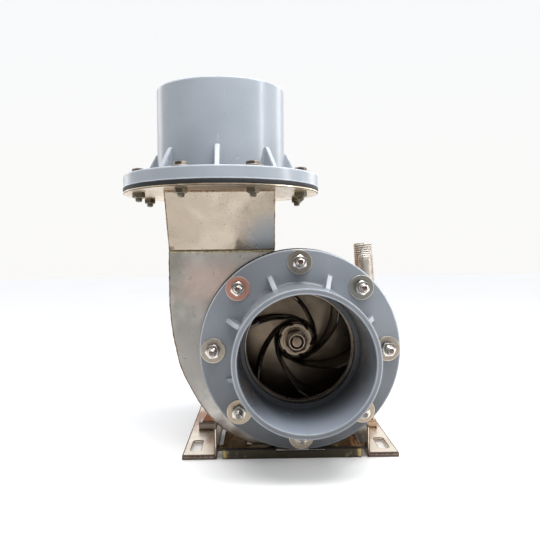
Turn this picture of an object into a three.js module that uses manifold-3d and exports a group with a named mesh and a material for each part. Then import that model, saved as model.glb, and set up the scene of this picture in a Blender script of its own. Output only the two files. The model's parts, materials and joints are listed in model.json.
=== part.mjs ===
// Belt-driven volute water pump: folded stainless casing, plastic pipe flanges, shaft on a rail base.
// Millimetres, +Z up. X runs to the right and Y runs to the back, seen from the suction side.
// Pieces are placed from the shaft axis, and the whole is then moved over its own footprint.

import * as THREE from 'three';
import { mergeVertices } from 'three/addons/utils/BufferGeometryUtils.js';
import Module from 'manifold-3d';

const wasm = await Module();
wasm.setup();

// Driving dimensions

const seat = 0.3; // gap left between pieces that rest on each other
const ringSegments = 48;
const smallSegments = 24;
const sheet = 3; // casing sheet
const shaftHeight = 185; // shaft axis over the floor

// Plastic pipe flanges, one on each opening
const flangeRadius = 170;
const flangeThickness = 21;
const stubLength = 149; // beyond the flange face
const stubOuterRadius = 111.2;
const stubInnerRadius = 102.2;
const stopRadius = 95; // lip that a pipe pushed into the stub stops at
const stopDepth = 12;
const ribCount = 8;
const ribThickness = 8;
const ribReach = 134;
const ribHeight = 41;
const gasketRadius = 170.7;
const gasketThickness = 6;

// Volute casing
const frontPlateY = 27; // outer face of the front sheet
const casingDepth = 126; // outer face to outer face
const backPlateY = frontPlateY + casingDepth;
const tongueRadius = 150;
const scrollGrowth = 62; // added to the radius over three quarters of a turn
const scrollFlat = 3.5; // the sheet is pressed in by this much at the lower left
const scrollFlatStart = 225; // degrees past the top, and it ends where the wall turns up
const tongueAngle = -17; // degrees past the top, where the scroll strip starts
const ductLeft = -222.5;
const ductRight = -41;
const bulgeHeight = 84; // where the left wall turns straight up
const seamHeight = 169; // joint between the scroll and the flared duct
const eyeRadius = 92;
const eyeRingLength = 15;

// Discharge
const dischargeX = -133;
const dischargeY = 61.5;
const dischargePlateZ = 267; // underside of the steel flange
const dischargePlateThickness = 4;
const dischargeHoleRadius = 85;
const ductFlareY = -27; // front edge of the duct under the steel flange

// Priming nipple, a threaded pipe that leans a little
const nippleRadius = 17.2;
const nippleBore = 13.5;
const nippleTop = new THREE.Vector3(121.5, 90, 180.5);
const nippleFoot = new THREE.Vector3(127, 90, 92);

// Rotor
const impellerRadius = 130;
const hubRadius = 32;
const hubFrontY = 125;
const hubBackY = 140;
const discFrontY = 133;
const vaneFrontY = 48;
const vaneCount = 6;
const vaneThickness = 5;
const vaneTipAngle = 39.5; // degrees, where a vane crosses the eye
const vaneOuterSweep = 62; // degrees of lag as the radius falls e times, near the rim
const vaneInnerSweep = 90; // added to it inside the bend
const vaneBendRadius = 48;
const vaneBendSoftness = 0.12; // how gradual the bend is, in the logarithm of the radius
const shaftRadius = 15;
const shaftNoseRadius = 13.5;
const threadRadius = 12;
const nutFrontY = 90;
const nutHalfFlats = 18;
const nutTurn = 15; // degrees from a corner on the right
const shaftFrontY = 86;
const shaftBackY = 490;
const pulleyRadius = 100;
const pulleyWidth = 64;
const pulleyFrontY = 415;
const grooveCount = 3;
const groovePitch = 19;
const grooveDepth = 13;
const grooveMouth = 17;
const grooveFloor = 9;
const pulleyRimDepth = 8; // under the grooves
const pulleyWebThickness = 10;
const pulleyHubRadius = 30;
const pulleyHubRecess = 4; // hub face behind the rim's front face

// Seal and bearings
const supportPlateThickness = 6;
const sealFlangeRadius = 62;
const sealBodyRadius = 40;
const sealLength = 44;
const bearingOuterRadius = 31;
const bearingWidth = 16;
const housingRadius = 44;
const housingFrontY = 235;
const housingBackY = 380;
const coverRadius = 53;
const coverThickness = 9;

// Base
const railSheet = 4;
const railFront = 0;
const railBack = 400;
const railOuterLeft = -202;
const railOuterRight = 167;
const railWidthLeft = 59;
const railWidthRight = 54;
const railFlangeTop = -177;
const railWebTop = -131;
const slotWidth = 18;
const slotFront = 23;
const slotBack = 87;
const slotInset = 20.5; // slot centre from the rail's outer edge
const slotCorner = 6;
const channelTop = -167;
const channelDepth = 109;
const channelEndGap = 9; // between the front lip and each web
const flangeRelief = 42; // half width of the relief under the suction flange
const padHeight = 15.5;
const padWidth = 35;
const padInset = 15; // from the rail's outer edge

// Colours from the photograph: base colour, roughness, metalness
const finishes = {
  pvc: [0x8e97a3, 0.55, 0],
  rubber: [0x1d2022, 0.85, 0],
  casing: [0xa9a195, 0.42, 0.9],
  duct: [0xcdbda6, 0.38, 0.9],
  base: [0xd6c6b0, 0.4, 0.9],
  impeller: [0x5a4d40, 0.5, 0.8],
  steel: [0xb9bbbb, 0.3, 1],
  paint: [0x3f5f86, 0.45, 0.2],
  iron: [0x4a4c4e, 0.6, 0.8],
};

const floorZ = -shaftHeight;
const degree = Math.PI / 180;
const dischargeGasketZ = dischargePlateZ + dischargePlateThickness;
const dischargeFlangeZ = dischargeGasketZ + gasketThickness - seat;
const innerFrontY = frontPlateY + sheet;
const innerBackY = backPlateY - sheet;
const supportPlateY = backPlateY + seat;
const sealFrontY = supportPlateY + supportPlateThickness + seat;
const webInnerLeft = railOuterLeft + railWidthLeft;
const webInnerRight = railOuterRight - railWidthRight;
const baseMiddleX = (webInnerLeft + webInnerRight) / 2;

const pump = new THREE.Group();

// Solids from geometries, and back

function mergedMesh(geometry) {
  const bare = geometry.clone();
  bare.deleteAttribute('normal');
  bare.deleteAttribute('uv');
  const merged = mergeVertices(bare);
  const index = [];
  for (let i = 0; i < merged.index.count; i += 3) {
    const [a, b, c] = [0, 1, 2].map((k) => merged.index.getX(i + k));
    if (a !== b && b !== c && c !== a) {
      index.push(a, b, c);
    }
  }
  return { vertices: Float32Array.from(merged.attributes.position.array), index };
}

function signedVolume({ vertices, index }) {
  const point = (i) => new THREE.Vector3().fromArray(vertices, 3 * i);
  let volume = 0;
  for (let i = 0; i < index.length; i += 3) {
    volume += point(index[i]).dot(point(index[i + 1]).cross(point(index[i + 2]))) / 6;
  }
  return volume;
}

function toSolid(geometry) {
  const mesh = mergedMesh(geometry);
  if (signedVolume(mesh) < 0) {
    mesh.index.reverse();
  }
  return new wasm.Manifold(new wasm.Mesh({
    numProp: 3,
    vertProperties: mesh.vertices,
    triVerts: Uint32Array.from(mesh.index),
  }));
}

function toGeometry(solid) {
  const mesh = solid.getMesh();
  const geometry = new THREE.BufferGeometry();
  geometry.setAttribute('position', new THREE.BufferAttribute(new Float32Array(mesh.vertProperties), 3));
  geometry.setIndex(Array.from(mesh.triVerts));
  geometry.computeVertexNormals();
  return geometry;
}

function fuse(first, ...others) {
  const joined = others.reduce((sum, next) => sum.add(toSolid(next)), toSolid(first));
  return toGeometry(joined);
}

function cut(body, ...tools) {
  const rest = tools.reduce((left, tool) => left.subtract(toSolid(tool)), toSolid(body));
  return toGeometry(rest);
}

// Shapes

function shapeOf(points, holes = []) {
  const toVectors = (list) => list.map(([x, y]) => new THREE.Vector2(x, y));
  const shape = new THREE.Shape(toVectors(points));
  shape.holes = holes.map((hole) => new THREE.Path(toVectors(hole)));
  return shape;
}

function circlePoints(radius, segments = ringSegments, x = 0, y = 0) {
  return Array.from({ length: segments }, (_, i) => {
    const angle = (2 * Math.PI * i) / segments;
    return [x + radius * Math.cos(angle), y + radius * Math.sin(angle)];
  });
}

function slotPoints(x0, y0, x1, y1, corner, steps = 4) {
  const centres = [[x1 - corner, y1 - corner], [x0 + corner, y1 - corner],
    [x0 + corner, y0 + corner], [x1 - corner, y0 + corner]];
  return centres.flatMap(([x, y], quarter) => Array.from({ length: steps + 1 }, (_, i) => {
    const angle = (quarter + i / steps) * 90 * degree;
    return [x + corner * Math.cos(angle), y + corner * Math.sin(angle)];
  }));
}

// Plate in the XZ plane between two Y values
function plateY(shape, front, back) {
  const geometry = new THREE.ExtrudeGeometry(shape, { depth: back - front, bevelEnabled: false });
  return geometry.rotateX(90 * degree).translate(0, back, 0);
}

// Plate whose outline is drawn in Y and Z, between two X values
function plateX(shape, left, right) {
  const geometry = new THREE.ExtrudeGeometry(shape, { depth: right - left, bevelEnabled: false });
  const turn = new THREE.Matrix4().makeBasis(
    new THREE.Vector3(0, 1, 0),
    new THREE.Vector3(0, 0, 1),
    new THREE.Vector3(1, 0, 0),
  );
  return geometry.applyMatrix4(turn).translate(left, 0, 0);
}

function plateZ(shape, bottom, top) {
  const geometry = new THREE.ExtrudeGeometry(shape, { depth: top - bottom, bevelEnabled: false });
  return geometry.translate(0, 0, bottom);
}

function block(x0, y0, z0, x1, y1, z1) {
  const geometry = new THREE.BoxGeometry(x1 - x0, y1 - y0, z1 - z0);
  return geometry.translate((x0 + x1) / 2, (y0 + y1) / 2, (z0 + z1) / 2);
}

// Body turned about the Y axis from a closed list of radius and Y
function turnedY(profile, segments = ringSegments) {
  const points = [...profile, profile[0]].map(([r, y]) => new THREE.Vector2(r, y));
  return new THREE.LatheGeometry(points, segments);
}

function turnedZ(profile, segments = ringSegments) {
  return turnedY(profile, segments).rotateX(90 * degree);
}

function addPiece(name, geometry, finish, position = [0, 0, 0]) {
  const [color, roughness, metalness] = finishes[finish];
  const material = new THREE.MeshStandardMaterial({ color, roughness, metalness, name: `${name}_finish` });
  const mesh = new THREE.Mesh(toGeometry(toSolid(geometry)), material);
  mesh.name = name;
  mesh.position.set(...position);
  pump.add(mesh);
  return mesh;
}

// Plastic flange with a socket stub: mating face at z = 0, stub upward, ribs from 0 degrees

function pipeFlange() {
  const rimZ = flangeThickness + stubLength;
  const body = turnedZ([
    [stopRadius, 0],
    [flangeRadius - 1, 0],
    [flangeRadius, 1],
    [flangeRadius, flangeThickness - 2],
    [flangeRadius - 2, flangeThickness],
    [stubOuterRadius + 4, flangeThickness],
    [stubOuterRadius, flangeThickness + 6],
    [stubOuterRadius, rimZ - 1.2],
    [stubOuterRadius - 1.2, rimZ],
    [stubInnerRadius + 1.2, rimZ],
    [stubInnerRadius, rimZ - 1.2],
    [stubInnerRadius, stopDepth],
    [stopRadius, stopDepth],
  ]);
  const ribOutline = shapeOf([
    [stubOuterRadius - 3, flangeThickness - 3],
    [ribReach, flangeThickness - 3],
    [ribReach, flangeThickness + 4],
    [stubOuterRadius + 2, flangeThickness + ribHeight],
    [stubOuterRadius - 3, flangeThickness + ribHeight],
  ]);
  const ribs = Array.from({ length: ribCount }, (_, i) => plateY(ribOutline, -ribThickness / 2, ribThickness / 2)
    .rotateZ((i * 360 * degree) / ribCount));
  return fuse(body, ...ribs);
}

function gasketRing() {
  const ring = shapeOf(circlePoints(gasketRadius), [circlePoints(stopRadius + 1)]);
  return plateZ(ring, seat, gasketThickness - seat);
}

function addPipeFlanges() {
  const halfRibStep = 180 / ribCount;
  const suction = addPiece('suction_pvc_flange', pipeFlange().rotateZ(halfRibStep * degree), 'pvc',
    [0, flangeThickness, 0]);
  suction.rotation.x = 90 * degree;
  addPiece('discharge_pvc_flange', pipeFlange(), 'pvc', [dischargeX, dischargeY, dischargeFlangeZ]);
  const suctionGasket = addPiece('suction_gasket', gasketRing(), 'rubber', [0, frontPlateY, 0]);
  suctionGasket.rotation.x = 90 * degree;
  addPiece('discharge_gasket', gasketRing().translate(0, 0, -seat), 'rubber',
    [dischargeX, dischargeY, dischargeGasketZ]);
  const steel = shapeOf(circlePoints(flangeRadius), [circlePoints(dischargeHoleRadius)]);
  addPiece('discharge_steel_flange', plateZ(steel, 0, dischargePlateThickness - seat), 'casing',
    [dischargeX, dischargeY, dischargePlateZ]);
}

// Volute outline in X and Z, clockwise from the tongue, then up the left wall

function scrollRadius(angle) {
  const along = Math.min(Math.max((angle - scrollFlatStart) / (270 - scrollFlatStart), 0), 1);
  const pressed = scrollFlat * Math.sin(Math.PI * along) ** 2;
  return tongueRadius + scrollGrowth * (Math.max(angle, 0) / 270) ** 2 - pressed;
}

function scrollPoint(angle, inset = 0) {
  const radius = scrollRadius(angle) - inset;
  return [-radius * Math.sin(-angle * degree), radius * Math.cos(angle * degree)];
}

function leftWallPoints(inset = 0) {
  const [startX] = scrollPoint(270, inset);
  const curve = new THREE.QuadraticBezierCurve(
    new THREE.Vector2(startX, 0),
    new THREE.Vector2(ductLeft + 1.5 + inset, bulgeHeight * 0.43),
    new THREE.Vector2(ductLeft + inset, bulgeHeight),
  );
  return curve.getPoints(4).slice(1).map((p) => [p.x, p.y]);
}

function scrollOutline(fromAngle, step, inset = 0) {
  const count = Math.ceil((270 - fromAngle) / step);
  const spiral = Array.from({ length: count + 1 }, (_, i) => scrollPoint(fromAngle + ((270 - fromAngle) * i) / count,
    inset));
  return [...spiral, ...leftWallPoints(inset)];
}

function scrollWall() {
  const outer = [...scrollOutline(tongueAngle, 7), [ductLeft, seamHeight]];
  const inner = [...scrollOutline(tongueAngle, 7, sheet), [ductLeft + sheet, seamHeight]];
  const strip = plateY(shapeOf([...outer, ...inner.reverse()]), innerFrontY + seat, innerBackY - seat);
  return cut(strip, nippleCylinder(nippleBore, 30));
}

function casingOutline(topZ) {
  const tongueX = ductRight;
  const firstAngle = Math.asin(tongueX / tongueRadius) / degree;
  return [[tongueX, topZ], ...scrollOutline(firstAngle, 7), [ductLeft, topZ]];
}

// Round bar along the nipple axis, stretched past its foot by a given length
function nippleCylinder(radius, past) {
  const axis = nippleTop.clone().sub(nippleFoot).normalize();
  const foot = nippleFoot.clone().addScaledVector(axis, -past);
  const length = nippleTop.distanceTo(foot);
  const bar = new THREE.CylinderGeometry(radius, radius, length + past, smallSegments);
  bar.translate(0, (length + past) / 2, 0);
  bar.applyQuaternion(new THREE.Quaternion().setFromUnitVectors(new THREE.Vector3(0, 1, 0), axis));
  return bar.translate(foot.x, foot.y, foot.z);
}

function nipple() {
  const axis = nippleTop.clone().sub(nippleFoot).normalize();
  const length = nippleTop.distanceTo(nippleFoot);
  const tube = turnedY([
    [nippleBore, 0], [nippleRadius, 0], [nippleRadius, length - 2], [nippleRadius - 1.5, length],
    [nippleBore, length],
  ], smallSegments);
  tube.applyQuaternion(new THREE.Quaternion().setFromUnitVectors(new THREE.Vector3(0, 1, 0), axis));
  tube.translate(nippleFoot.x, nippleFoot.y, nippleFoot.z);
  const casingSpace = plateY(
    shapeOf(scrollOutline(20, 7, -seat).concat([[0, 0]])),
    frontPlateY - sheet,
    backPlateY + sheet,
  );
  return cut(tube, casingSpace);
}

function addVolute() {
  const front = shapeOf(casingOutline(seamHeight), [circlePoints(eyeRadius + sheet + seat)]);
  addPiece('volute_front_plate', plateY(front, frontPlateY, innerFrontY), 'casing');
  const back = shapeOf(casingOutline(dischargePlateZ - seat), [circlePoints(shaftRadius + 10, smallSegments)]);
  addPiece('volute_back_plate', plateY(back, innerBackY, backPlateY), 'casing');
  addPiece('scroll_wall', scrollWall(), 'casing');
  const eyeBack = frontPlateY + eyeRingLength;
  addPiece('suction_eye_ring', turnedY([
    [eyeRadius, frontPlateY],
    [eyeRadius + sheet, frontPlateY],
    [eyeRadius + sheet, eyeBack],
    [eyeRadius, eyeBack],
  ]), 'casing');
  addPiece('priming_nipple', nipple(), 'steel');
}

// Duct over the seam: the front leans out to the flange, the sides close it to the back plate

function addDuct() {
  const low = seamHeight + seat;
  const high = dischargePlateZ - seat;
  const panel = shapeOf([
    [frontPlateY, low],
    [innerFrontY + 0.4, low],
    [ductFlareY + sheet + 0.4, high],
    [ductFlareY, high],
  ]);
  addPiece('duct_front_panel', plateX(panel, ductLeft, ductRight), 'duct');
  const sideFront = innerFrontY + 0.4 + seat;
  const sideFlare = ductFlareY + sheet + 0.4 + seat;
  const back = innerBackY - seat;
  const leftSide = shapeOf([[sideFront, low], [back, low], [back, high], [sideFlare, high]]);
  addPiece('duct_left_panel', plateX(leftSide, ductLeft, ductLeft + sheet), 'duct');
  const tongueZ = Math.sqrt(tongueRadius ** 2 - ductRight ** 2) + 2 * seat;
  const rightSide = shapeOf([[sideFront, tongueZ], [back, tongueZ], [back, high], [sideFlare, high],
    [sideFront, low]]);
  addPiece('duct_right_panel', plateX(rightSide, ductRight - sheet, ductRight), 'duct');
}

// Rotor: semi-open impeller with backward vanes, its nut, the shaft and the belt pulley

// Degrees of a vane's middle line: it lags a little near the rim, and winds tightly round the hub
function vaneAngle(radius) {
  const past = Math.log(vaneBendRadius / radius);
  const bend = (past + Math.hypot(past, vaneBendSoftness)) / 2;
  return vaneTipAngle - vaneOuterSweep * Math.log(eyeRadius / radius) - vaneInnerSweep * bend;
}

function vane(turn) {
  const rootRadius = hubRadius - 4;
  const tipRadius = impellerRadius - 1;
  const steps = 14;
  const centre = Array.from({ length: steps + 1 }, (_, i) => {
    const radius = rootRadius * (tipRadius / rootRadius) ** (i / steps);
    return new THREE.Vector2(radius, 0).rotateAround(new THREE.Vector2(), (vaneAngle(radius) + turn) * degree);
  });
  const side = (sign) => centre.map((p, i) => {
    const along = centre[Math.min(i + 1, steps)].clone().sub(centre[Math.max(i - 1, 0)]).normalize();
    return [p.x - (sign * along.y * vaneThickness) / 2, p.y + (sign * along.x * vaneThickness) / 2];
  });
  return plateY(shapeOf([...side(1), ...side(-1).reverse()]), vaneFrontY, discFrontY + 2);
}

function impeller() {
  const vanes = Array.from({ length: vaneCount }, (_, i) => vane((i * 360) / vaneCount));
  const eyeSpace = turnedY([[0, 20], [80, 20], [80, vaneFrontY], [hubRadius - 1, hubFrontY - 6], [0, hubFrontY - 6]]);
  const blades = cut(fuse(...vanes), eyeSpace);
  const disc = turnedY([
    [0, hubFrontY], [hubRadius - 2, hubFrontY], [hubRadius, hubFrontY + 2], [hubRadius + 4, discFrontY - 3],
    [hubRadius + 10, discFrontY], [impellerRadius, discFrontY], [impellerRadius, discFrontY + 4],
    [hubRadius, discFrontY + 4], [hubRadius, hubBackY], [0, hubBackY],
  ]);
  const bore = turnedY([[0, hubFrontY - 5], [shaftNoseRadius + seat, hubFrontY - 5],
    [shaftNoseRadius + seat, hubBackY + 5], [0, hubBackY + 5]], smallSegments);
  return cut(fuse(disc, blades), bore);
}

function impellerNut() {
  const washerBack = hubFrontY - seat;
  const washer = turnedY([[0, washerBack - 3], [23.5, washerBack - 3], [23.5, washerBack], [0, washerBack]],
    smallSegments);
  const toCorner = nutHalfFlats / Math.cos(30 * degree);
  const corners = circlePoints(toCorner, 6).map(([x, z]) => new THREE.Vector2(x, z)
    .rotateAround(new THREE.Vector2(), nutTurn * degree).toArray());
  const nut = plateY(shapeOf(corners), nutFrontY, washerBack - 2);
  const chamfer = turnedY([[0, nutFrontY], [nutHalfFlats - 1.5, nutFrontY], [toCorner + 1, nutFrontY + 3],
    [toCorner + 1, washerBack], [0, washerBack]], smallSegments);
  const bore = turnedY([[0, shaftFrontY], [threadRadius + seat, shaftFrontY], [threadRadius + seat, hubFrontY + 5],
    [0, hubFrontY + 5]], smallSegments);
  const trimmed = toGeometry(toSolid(nut).intersect(toSolid(chamfer)));
  return cut(fuse(washer, trimmed), bore);
}

function shaft() {
  return turnedY([
    [0, shaftFrontY],
    [threadRadius - 3, shaftFrontY],
    [threadRadius, shaftFrontY + 3],
    [threadRadius, hubFrontY + 1],
    [shaftNoseRadius, hubFrontY + 1],
    [shaftNoseRadius, hubBackY + seat],
    [shaftRadius, hubBackY + seat],
    [shaftRadius, shaftBackY - 1.5],
    [shaftRadius - 1.5, shaftBackY],
    [0, shaftBackY],
  ], smallSegments);
}

function pulley() {
  const back = pulleyFrontY + pulleyWidth;
  const firstGroove = pulleyFrontY + (pulleyWidth - groovePitch * (grooveCount - 1)) / 2;
  const grooves = Array.from({ length: grooveCount }, (_, i) => firstGroove + i * groovePitch).flatMap((y) => [
    [pulleyRadius, y - grooveMouth / 2],
    [pulleyRadius - grooveDepth, y - grooveFloor / 2],
    [pulleyRadius - grooveDepth, y + grooveFloor / 2],
    [pulleyRadius, y + grooveMouth / 2],
  ]);
  const rimInner = pulleyRadius - grooveDepth - pulleyRimDepth;
  const webFront = (pulleyFrontY + back - pulleyWebThickness) / 2;
  const webBack = webFront + pulleyWebThickness;
  const hubFront = pulleyFrontY + pulleyHubRecess;
  return turnedY([
    [shaftRadius + seat, hubFront],
    [pulleyHubRadius, hubFront],
    [pulleyHubRadius, webFront],
    [rimInner, webFront],
    [rimInner, pulleyFrontY],
    [pulleyRadius, pulleyFrontY],
    ...grooves,
    [pulleyRadius, back],
    [rimInner, back],
    [rimInner, webBack],
    [pulleyHubRadius, webBack],
    [pulleyHubRadius, back + 2],
    [shaftRadius + seat, back + 2],
  ], 32);
}

function addRotor() {
  addPiece('impeller', impeller(), 'impeller');
  addPiece('impeller_nut', impellerNut(), 'steel');
  addPiece('shaft', shaft(), 'steel');
  addPiece('drive_pulley', pulley(), 'iron');
}

// Shaft seal on the support plate behind the casing

function supportPlate() {
  const topRadius = 65;
  const footLeft = new THREE.Vector2(railOuterLeft + padInset + 6, railFlangeTop + padHeight + 2 * seat);
  const footRight = new THREE.Vector2(2 * baseMiddleX - footLeft.x, footLeft.y);
  const tangentAngle = (foot) => Math.atan2(foot.y, foot.x);
  const reach = (foot) => Math.acos(topRadius / foot.length());
  const start = tangentAngle(footRight) + reach(footRight);
  const end = tangentAngle(footLeft) - reach(footLeft) + 2 * Math.PI;
  const arcSteps = 14;
  const arc = Array.from({ length: arcSteps + 1 }, (_, i) => {
    const angle = start + ((end - start) * i) / arcSteps;
    return [topRadius * Math.cos(angle), topRadius * Math.sin(angle)];
  });
  const outline = [[footRight.x, footRight.y], ...arc, [footLeft.x, footLeft.y]];
  const hole = circlePoints(shaftRadius + 10, smallSegments);
  const plate = plateY(shapeOf(outline, [hole]), supportPlateY, supportPlateY + supportPlateThickness);
  return cut(plate, webSlot(webInnerLeft, -railSheet), webSlot(webInnerRight, railSheet));
}

// Space that a rail web takes out of the support plate
function webSlot(innerX, toOuter) {
  const left = Math.min(innerX, innerX + toOuter) - seat;
  const right = Math.max(innerX, innerX + toOuter) + seat;
  return block(left, supportPlateY - 1, floorZ, right, sealFrontY + 1, railWebTop + seat);
}

function addSeal() {
  addPiece('rear_support_plate', supportPlate(), 'base');
  const back = sealFrontY + sealLength;
  addPiece('stuffing_box', turnedY([
    [shaftRadius + 1, sealFrontY],
    [sealFlangeRadius, sealFrontY],
    [sealFlangeRadius, sealFrontY + 9],
    [sealBodyRadius, sealFrontY + 9],
    [sealBodyRadius, back - 2],
    [sealBodyRadius - 2, back],
    [shaftRadius + 1, back],
  ], 36), 'steel');
  addPiece('gland_follower', turnedY([
    [shaftRadius + 1, back + seat],
    [sealBodyRadius - 12, back + seat],
    [sealBodyRadius, back + 3],
    [sealBodyRadius, back + 11],
    [shaftRadius + 1, back + 11],
  ], 36), 'steel');
}

// Bearing housing on its bed, over the rail webs

function bearingRing(front) {
  return turnedY([
    [shaftRadius + seat, front],
    [bearingOuterRadius - seat, front],
    [bearingOuterRadius - seat, front + bearingWidth],
    [shaftRadius + seat, front + bearingWidth],
  ], smallSegments);
}

function bearingCover(inner, outer) {
  const boss = inner + (outer - inner) * 1.7;
  return turnedY([
    [shaftRadius + 1, inner],
    [coverRadius, inner],
    [coverRadius, outer],
    [coverRadius - 22, outer],
    [coverRadius - 24, boss],
    [shaftRadius + 1, boss],
  ], 36);
}

function saddlePlate(front) {
  const bottom = railWebTop + 8 + seat;
  const outline = shapeOf([[-88, bottom], [88, bottom], [88, bottom + 14], [54, -6], [-54, -6], [-88, bottom + 14]]);
  const notch = turnedY([[0, front - 5], [housingRadius + seat, front - 5], [housingRadius + seat, front + 15],
    [0, front + 15]]);
  return cut(plateY(outline, front, front + 8), notch);
}

function addBearings() {
  const housing = turnedY([
    [bearingOuterRadius, housingFrontY],
    [housingRadius, housingFrontY],
    [housingRadius, housingBackY],
    [bearingOuterRadius, housingBackY],
  ], 40);
  addPiece('bearing_housing', housing, 'paint');
  addPiece('front_bearing', bearingRing(housingFrontY + 4), 'steel');
  addPiece('rear_bearing', bearingRing(housingBackY - 4 - bearingWidth), 'steel');
  addPiece('front_bearing_cover', bearingCover(housingFrontY - seat, housingFrontY - seat - coverThickness), 'paint');
  addPiece('rear_bearing_cover', bearingCover(housingBackY + seat, housingBackY + seat + coverThickness), 'paint');
  addPiece('bearing_bed', block(webInnerLeft - railSheet, 228, railWebTop + seat, webInnerRight + railSheet, 392,
    railWebTop + 8), 'base');
  addPiece('front_saddle_plate', saddlePlate(housingFrontY + 14), 'paint');
  addPiece('rear_saddle_plate', saddlePlate(housingBackY - 22), 'paint');
}

// Rails: flange on the floor side with turned-down edges, and a standing web

function rail(outerX, width) {
  const inward = Math.sign(baseMiddleX - outerX);
  const at = (distance, z) => [outerX + inward * distance, z];
  const profile = [
    at(0, floorZ),
    at(railSheet, floorZ),
    at(railSheet, railFlangeTop - railSheet),
    at(width - railSheet, railFlangeTop - railSheet),
    at(width - railSheet, floorZ),
    at(width, floorZ),
    at(width, railWebTop),
    at(width - railSheet, railWebTop),
    at(width - railSheet, railFlangeTop),
    at(0, railFlangeTop),
  ];
  const length = plateY(shapeOf(profile), railFront, railBack);
  const lipEnds = [at(1, 0)[0], at(width - 1, 0)[0]];
  const lip = block(Math.min(...lipEnds), railFront, floorZ, Math.max(...lipEnds), railFront + railSheet,
    railFlangeTop - 1);
  const slotX = outerX + inward * slotInset;
  const slot = plateZ(
    shapeOf(slotPoints(slotX - slotWidth / 2, slotFront, slotX + slotWidth / 2, slotBack, slotCorner)),
    floorZ - 5,
    railFlangeTop + 5,
  );
  return cut(fuse(length, lip), slot);
}

// Cross channel under the casing, with a notch that the scroll drops into
function frontChannel() {
  const left = webInnerLeft + seat;
  const right = webInnerRight - seat;
  const notchFront = frontPlateY - 2 * seat;
  const chordLeft = -92;
  const chordRight = 62;
  const lipLeft = left + channelEndGap;
  const lipRight = right - channelEndGap;
  const top = shapeOf([
    [left, railFront + railSheet],
    [right, railFront + railSheet],
    [right, notchFront - 3],
    [lipRight, notchFront],
    [lipRight, channelDepth],
    [chordRight, channelDepth],
    [chordRight, notchFront],
    [chordLeft, notchFront],
    [chordLeft, channelDepth],
    [lipLeft, channelDepth],
    [lipLeft, notchFront],
    [left, notchFront - 3],
  ]);
  const lip = block(lipLeft, railFront, floorZ, lipRight, railFront + railSheet, channelTop);
  const corner = block(lipLeft, railFront + 1, channelTop - railSheet, lipRight, railFront + railSheet + 2,
    channelTop);
  const relief = block(-flangeRelief, railFront - 1, -flangeRadius - 2, flangeRelief, frontPlateY, channelTop + 1);
  return cut(fuse(plateZ(top, channelTop - railSheet, channelTop), lip, corner), relief);
}

function rearChannel() {
  const profile = shapeOf([
    [340, floorZ], [344, floorZ], [344, channelTop - railSheet], [386, channelTop - railSheet], [386, floorZ],
    [390, floorZ], [390, channelTop], [340, channelTop],
  ]);
  return plateX(profile, webInnerLeft + seat, webInnerRight - seat);
}

function addBase() {
  addPiece('base_rail_left', rail(railOuterLeft, railWidthLeft), 'base');
  addPiece('base_rail_right', rail(railOuterRight, railWidthRight), 'base');
  addPiece('front_cross_channel', frontChannel(), 'base');
  addPiece('rear_cross_channel', rearChannel(), 'base');
  const padZ = railFlangeTop + seat;
  const leftPadX = railOuterLeft + padInset;
  const rightPadX = 2 * baseMiddleX - leftPadX - padWidth;
  addPiece('support_pad_left', block(leftPadX, backPlateY - 2, padZ, leftPadX + padWidth, backPlateY + 26,
    padZ + padHeight), 'base');
  addPiece('support_pad_right', block(rightPadX, backPlateY - 2, padZ, rightPadX + padWidth, backPlateY + 26,
    padZ + padHeight), 'base');
}

addBase();
addVolute();
addDuct();
addPipeFlanges();
addSeal();
addBearings();
addRotor();

// The part's origin is on the floor, under the middle of the whole pump
const leftmost = dischargeX - gasketRadius;
const rightmost = gasketRadius;
const frontmost = -stubLength;
pump.position.set(-(leftmost + rightmost) / 2, -(frontmost + shaftBackY) / 2, shaftHeight);

const part = new THREE.Group();
part.add(pump);
part.updateMatrixWorld(true);

export default part;
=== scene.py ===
"""Looks of a belt-driven volute water pump: folded stainless casing, plastic pipe flanges, rail base.

Every shape is drawn in pump millimetres: the origin is where the shaft axis meets the front face of
the suction flange, X runs to the right, Y to the back and Z up. One matrix, read from the frame,
then moves the shapes to where the frame has them.
"""
import json
import logging
import math
from collections.abc import Callable, Sequence
from dataclasses import dataclass
from enum import Enum

import bmesh
import bpy
from mathutils import Matrix, Vector, noise
from mathutils.geometry import tessellate_polygon

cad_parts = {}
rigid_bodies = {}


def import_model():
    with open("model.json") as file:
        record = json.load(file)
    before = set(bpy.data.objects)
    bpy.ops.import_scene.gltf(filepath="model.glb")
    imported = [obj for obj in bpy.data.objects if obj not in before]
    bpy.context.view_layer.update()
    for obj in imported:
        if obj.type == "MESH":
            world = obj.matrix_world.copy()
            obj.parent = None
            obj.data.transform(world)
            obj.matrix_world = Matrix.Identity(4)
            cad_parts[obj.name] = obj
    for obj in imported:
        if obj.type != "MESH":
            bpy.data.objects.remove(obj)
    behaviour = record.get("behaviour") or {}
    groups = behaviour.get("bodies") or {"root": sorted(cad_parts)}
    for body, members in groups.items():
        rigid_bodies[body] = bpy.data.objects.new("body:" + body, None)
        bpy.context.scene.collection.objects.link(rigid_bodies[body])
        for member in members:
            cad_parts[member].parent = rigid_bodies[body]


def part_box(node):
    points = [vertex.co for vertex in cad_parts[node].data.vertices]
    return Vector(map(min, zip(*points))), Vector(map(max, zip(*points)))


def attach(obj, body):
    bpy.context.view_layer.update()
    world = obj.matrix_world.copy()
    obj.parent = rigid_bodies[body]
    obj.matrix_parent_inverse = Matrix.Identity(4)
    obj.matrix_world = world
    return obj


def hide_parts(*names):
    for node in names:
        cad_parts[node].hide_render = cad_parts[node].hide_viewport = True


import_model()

log = logging.getLogger("pump")

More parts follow.
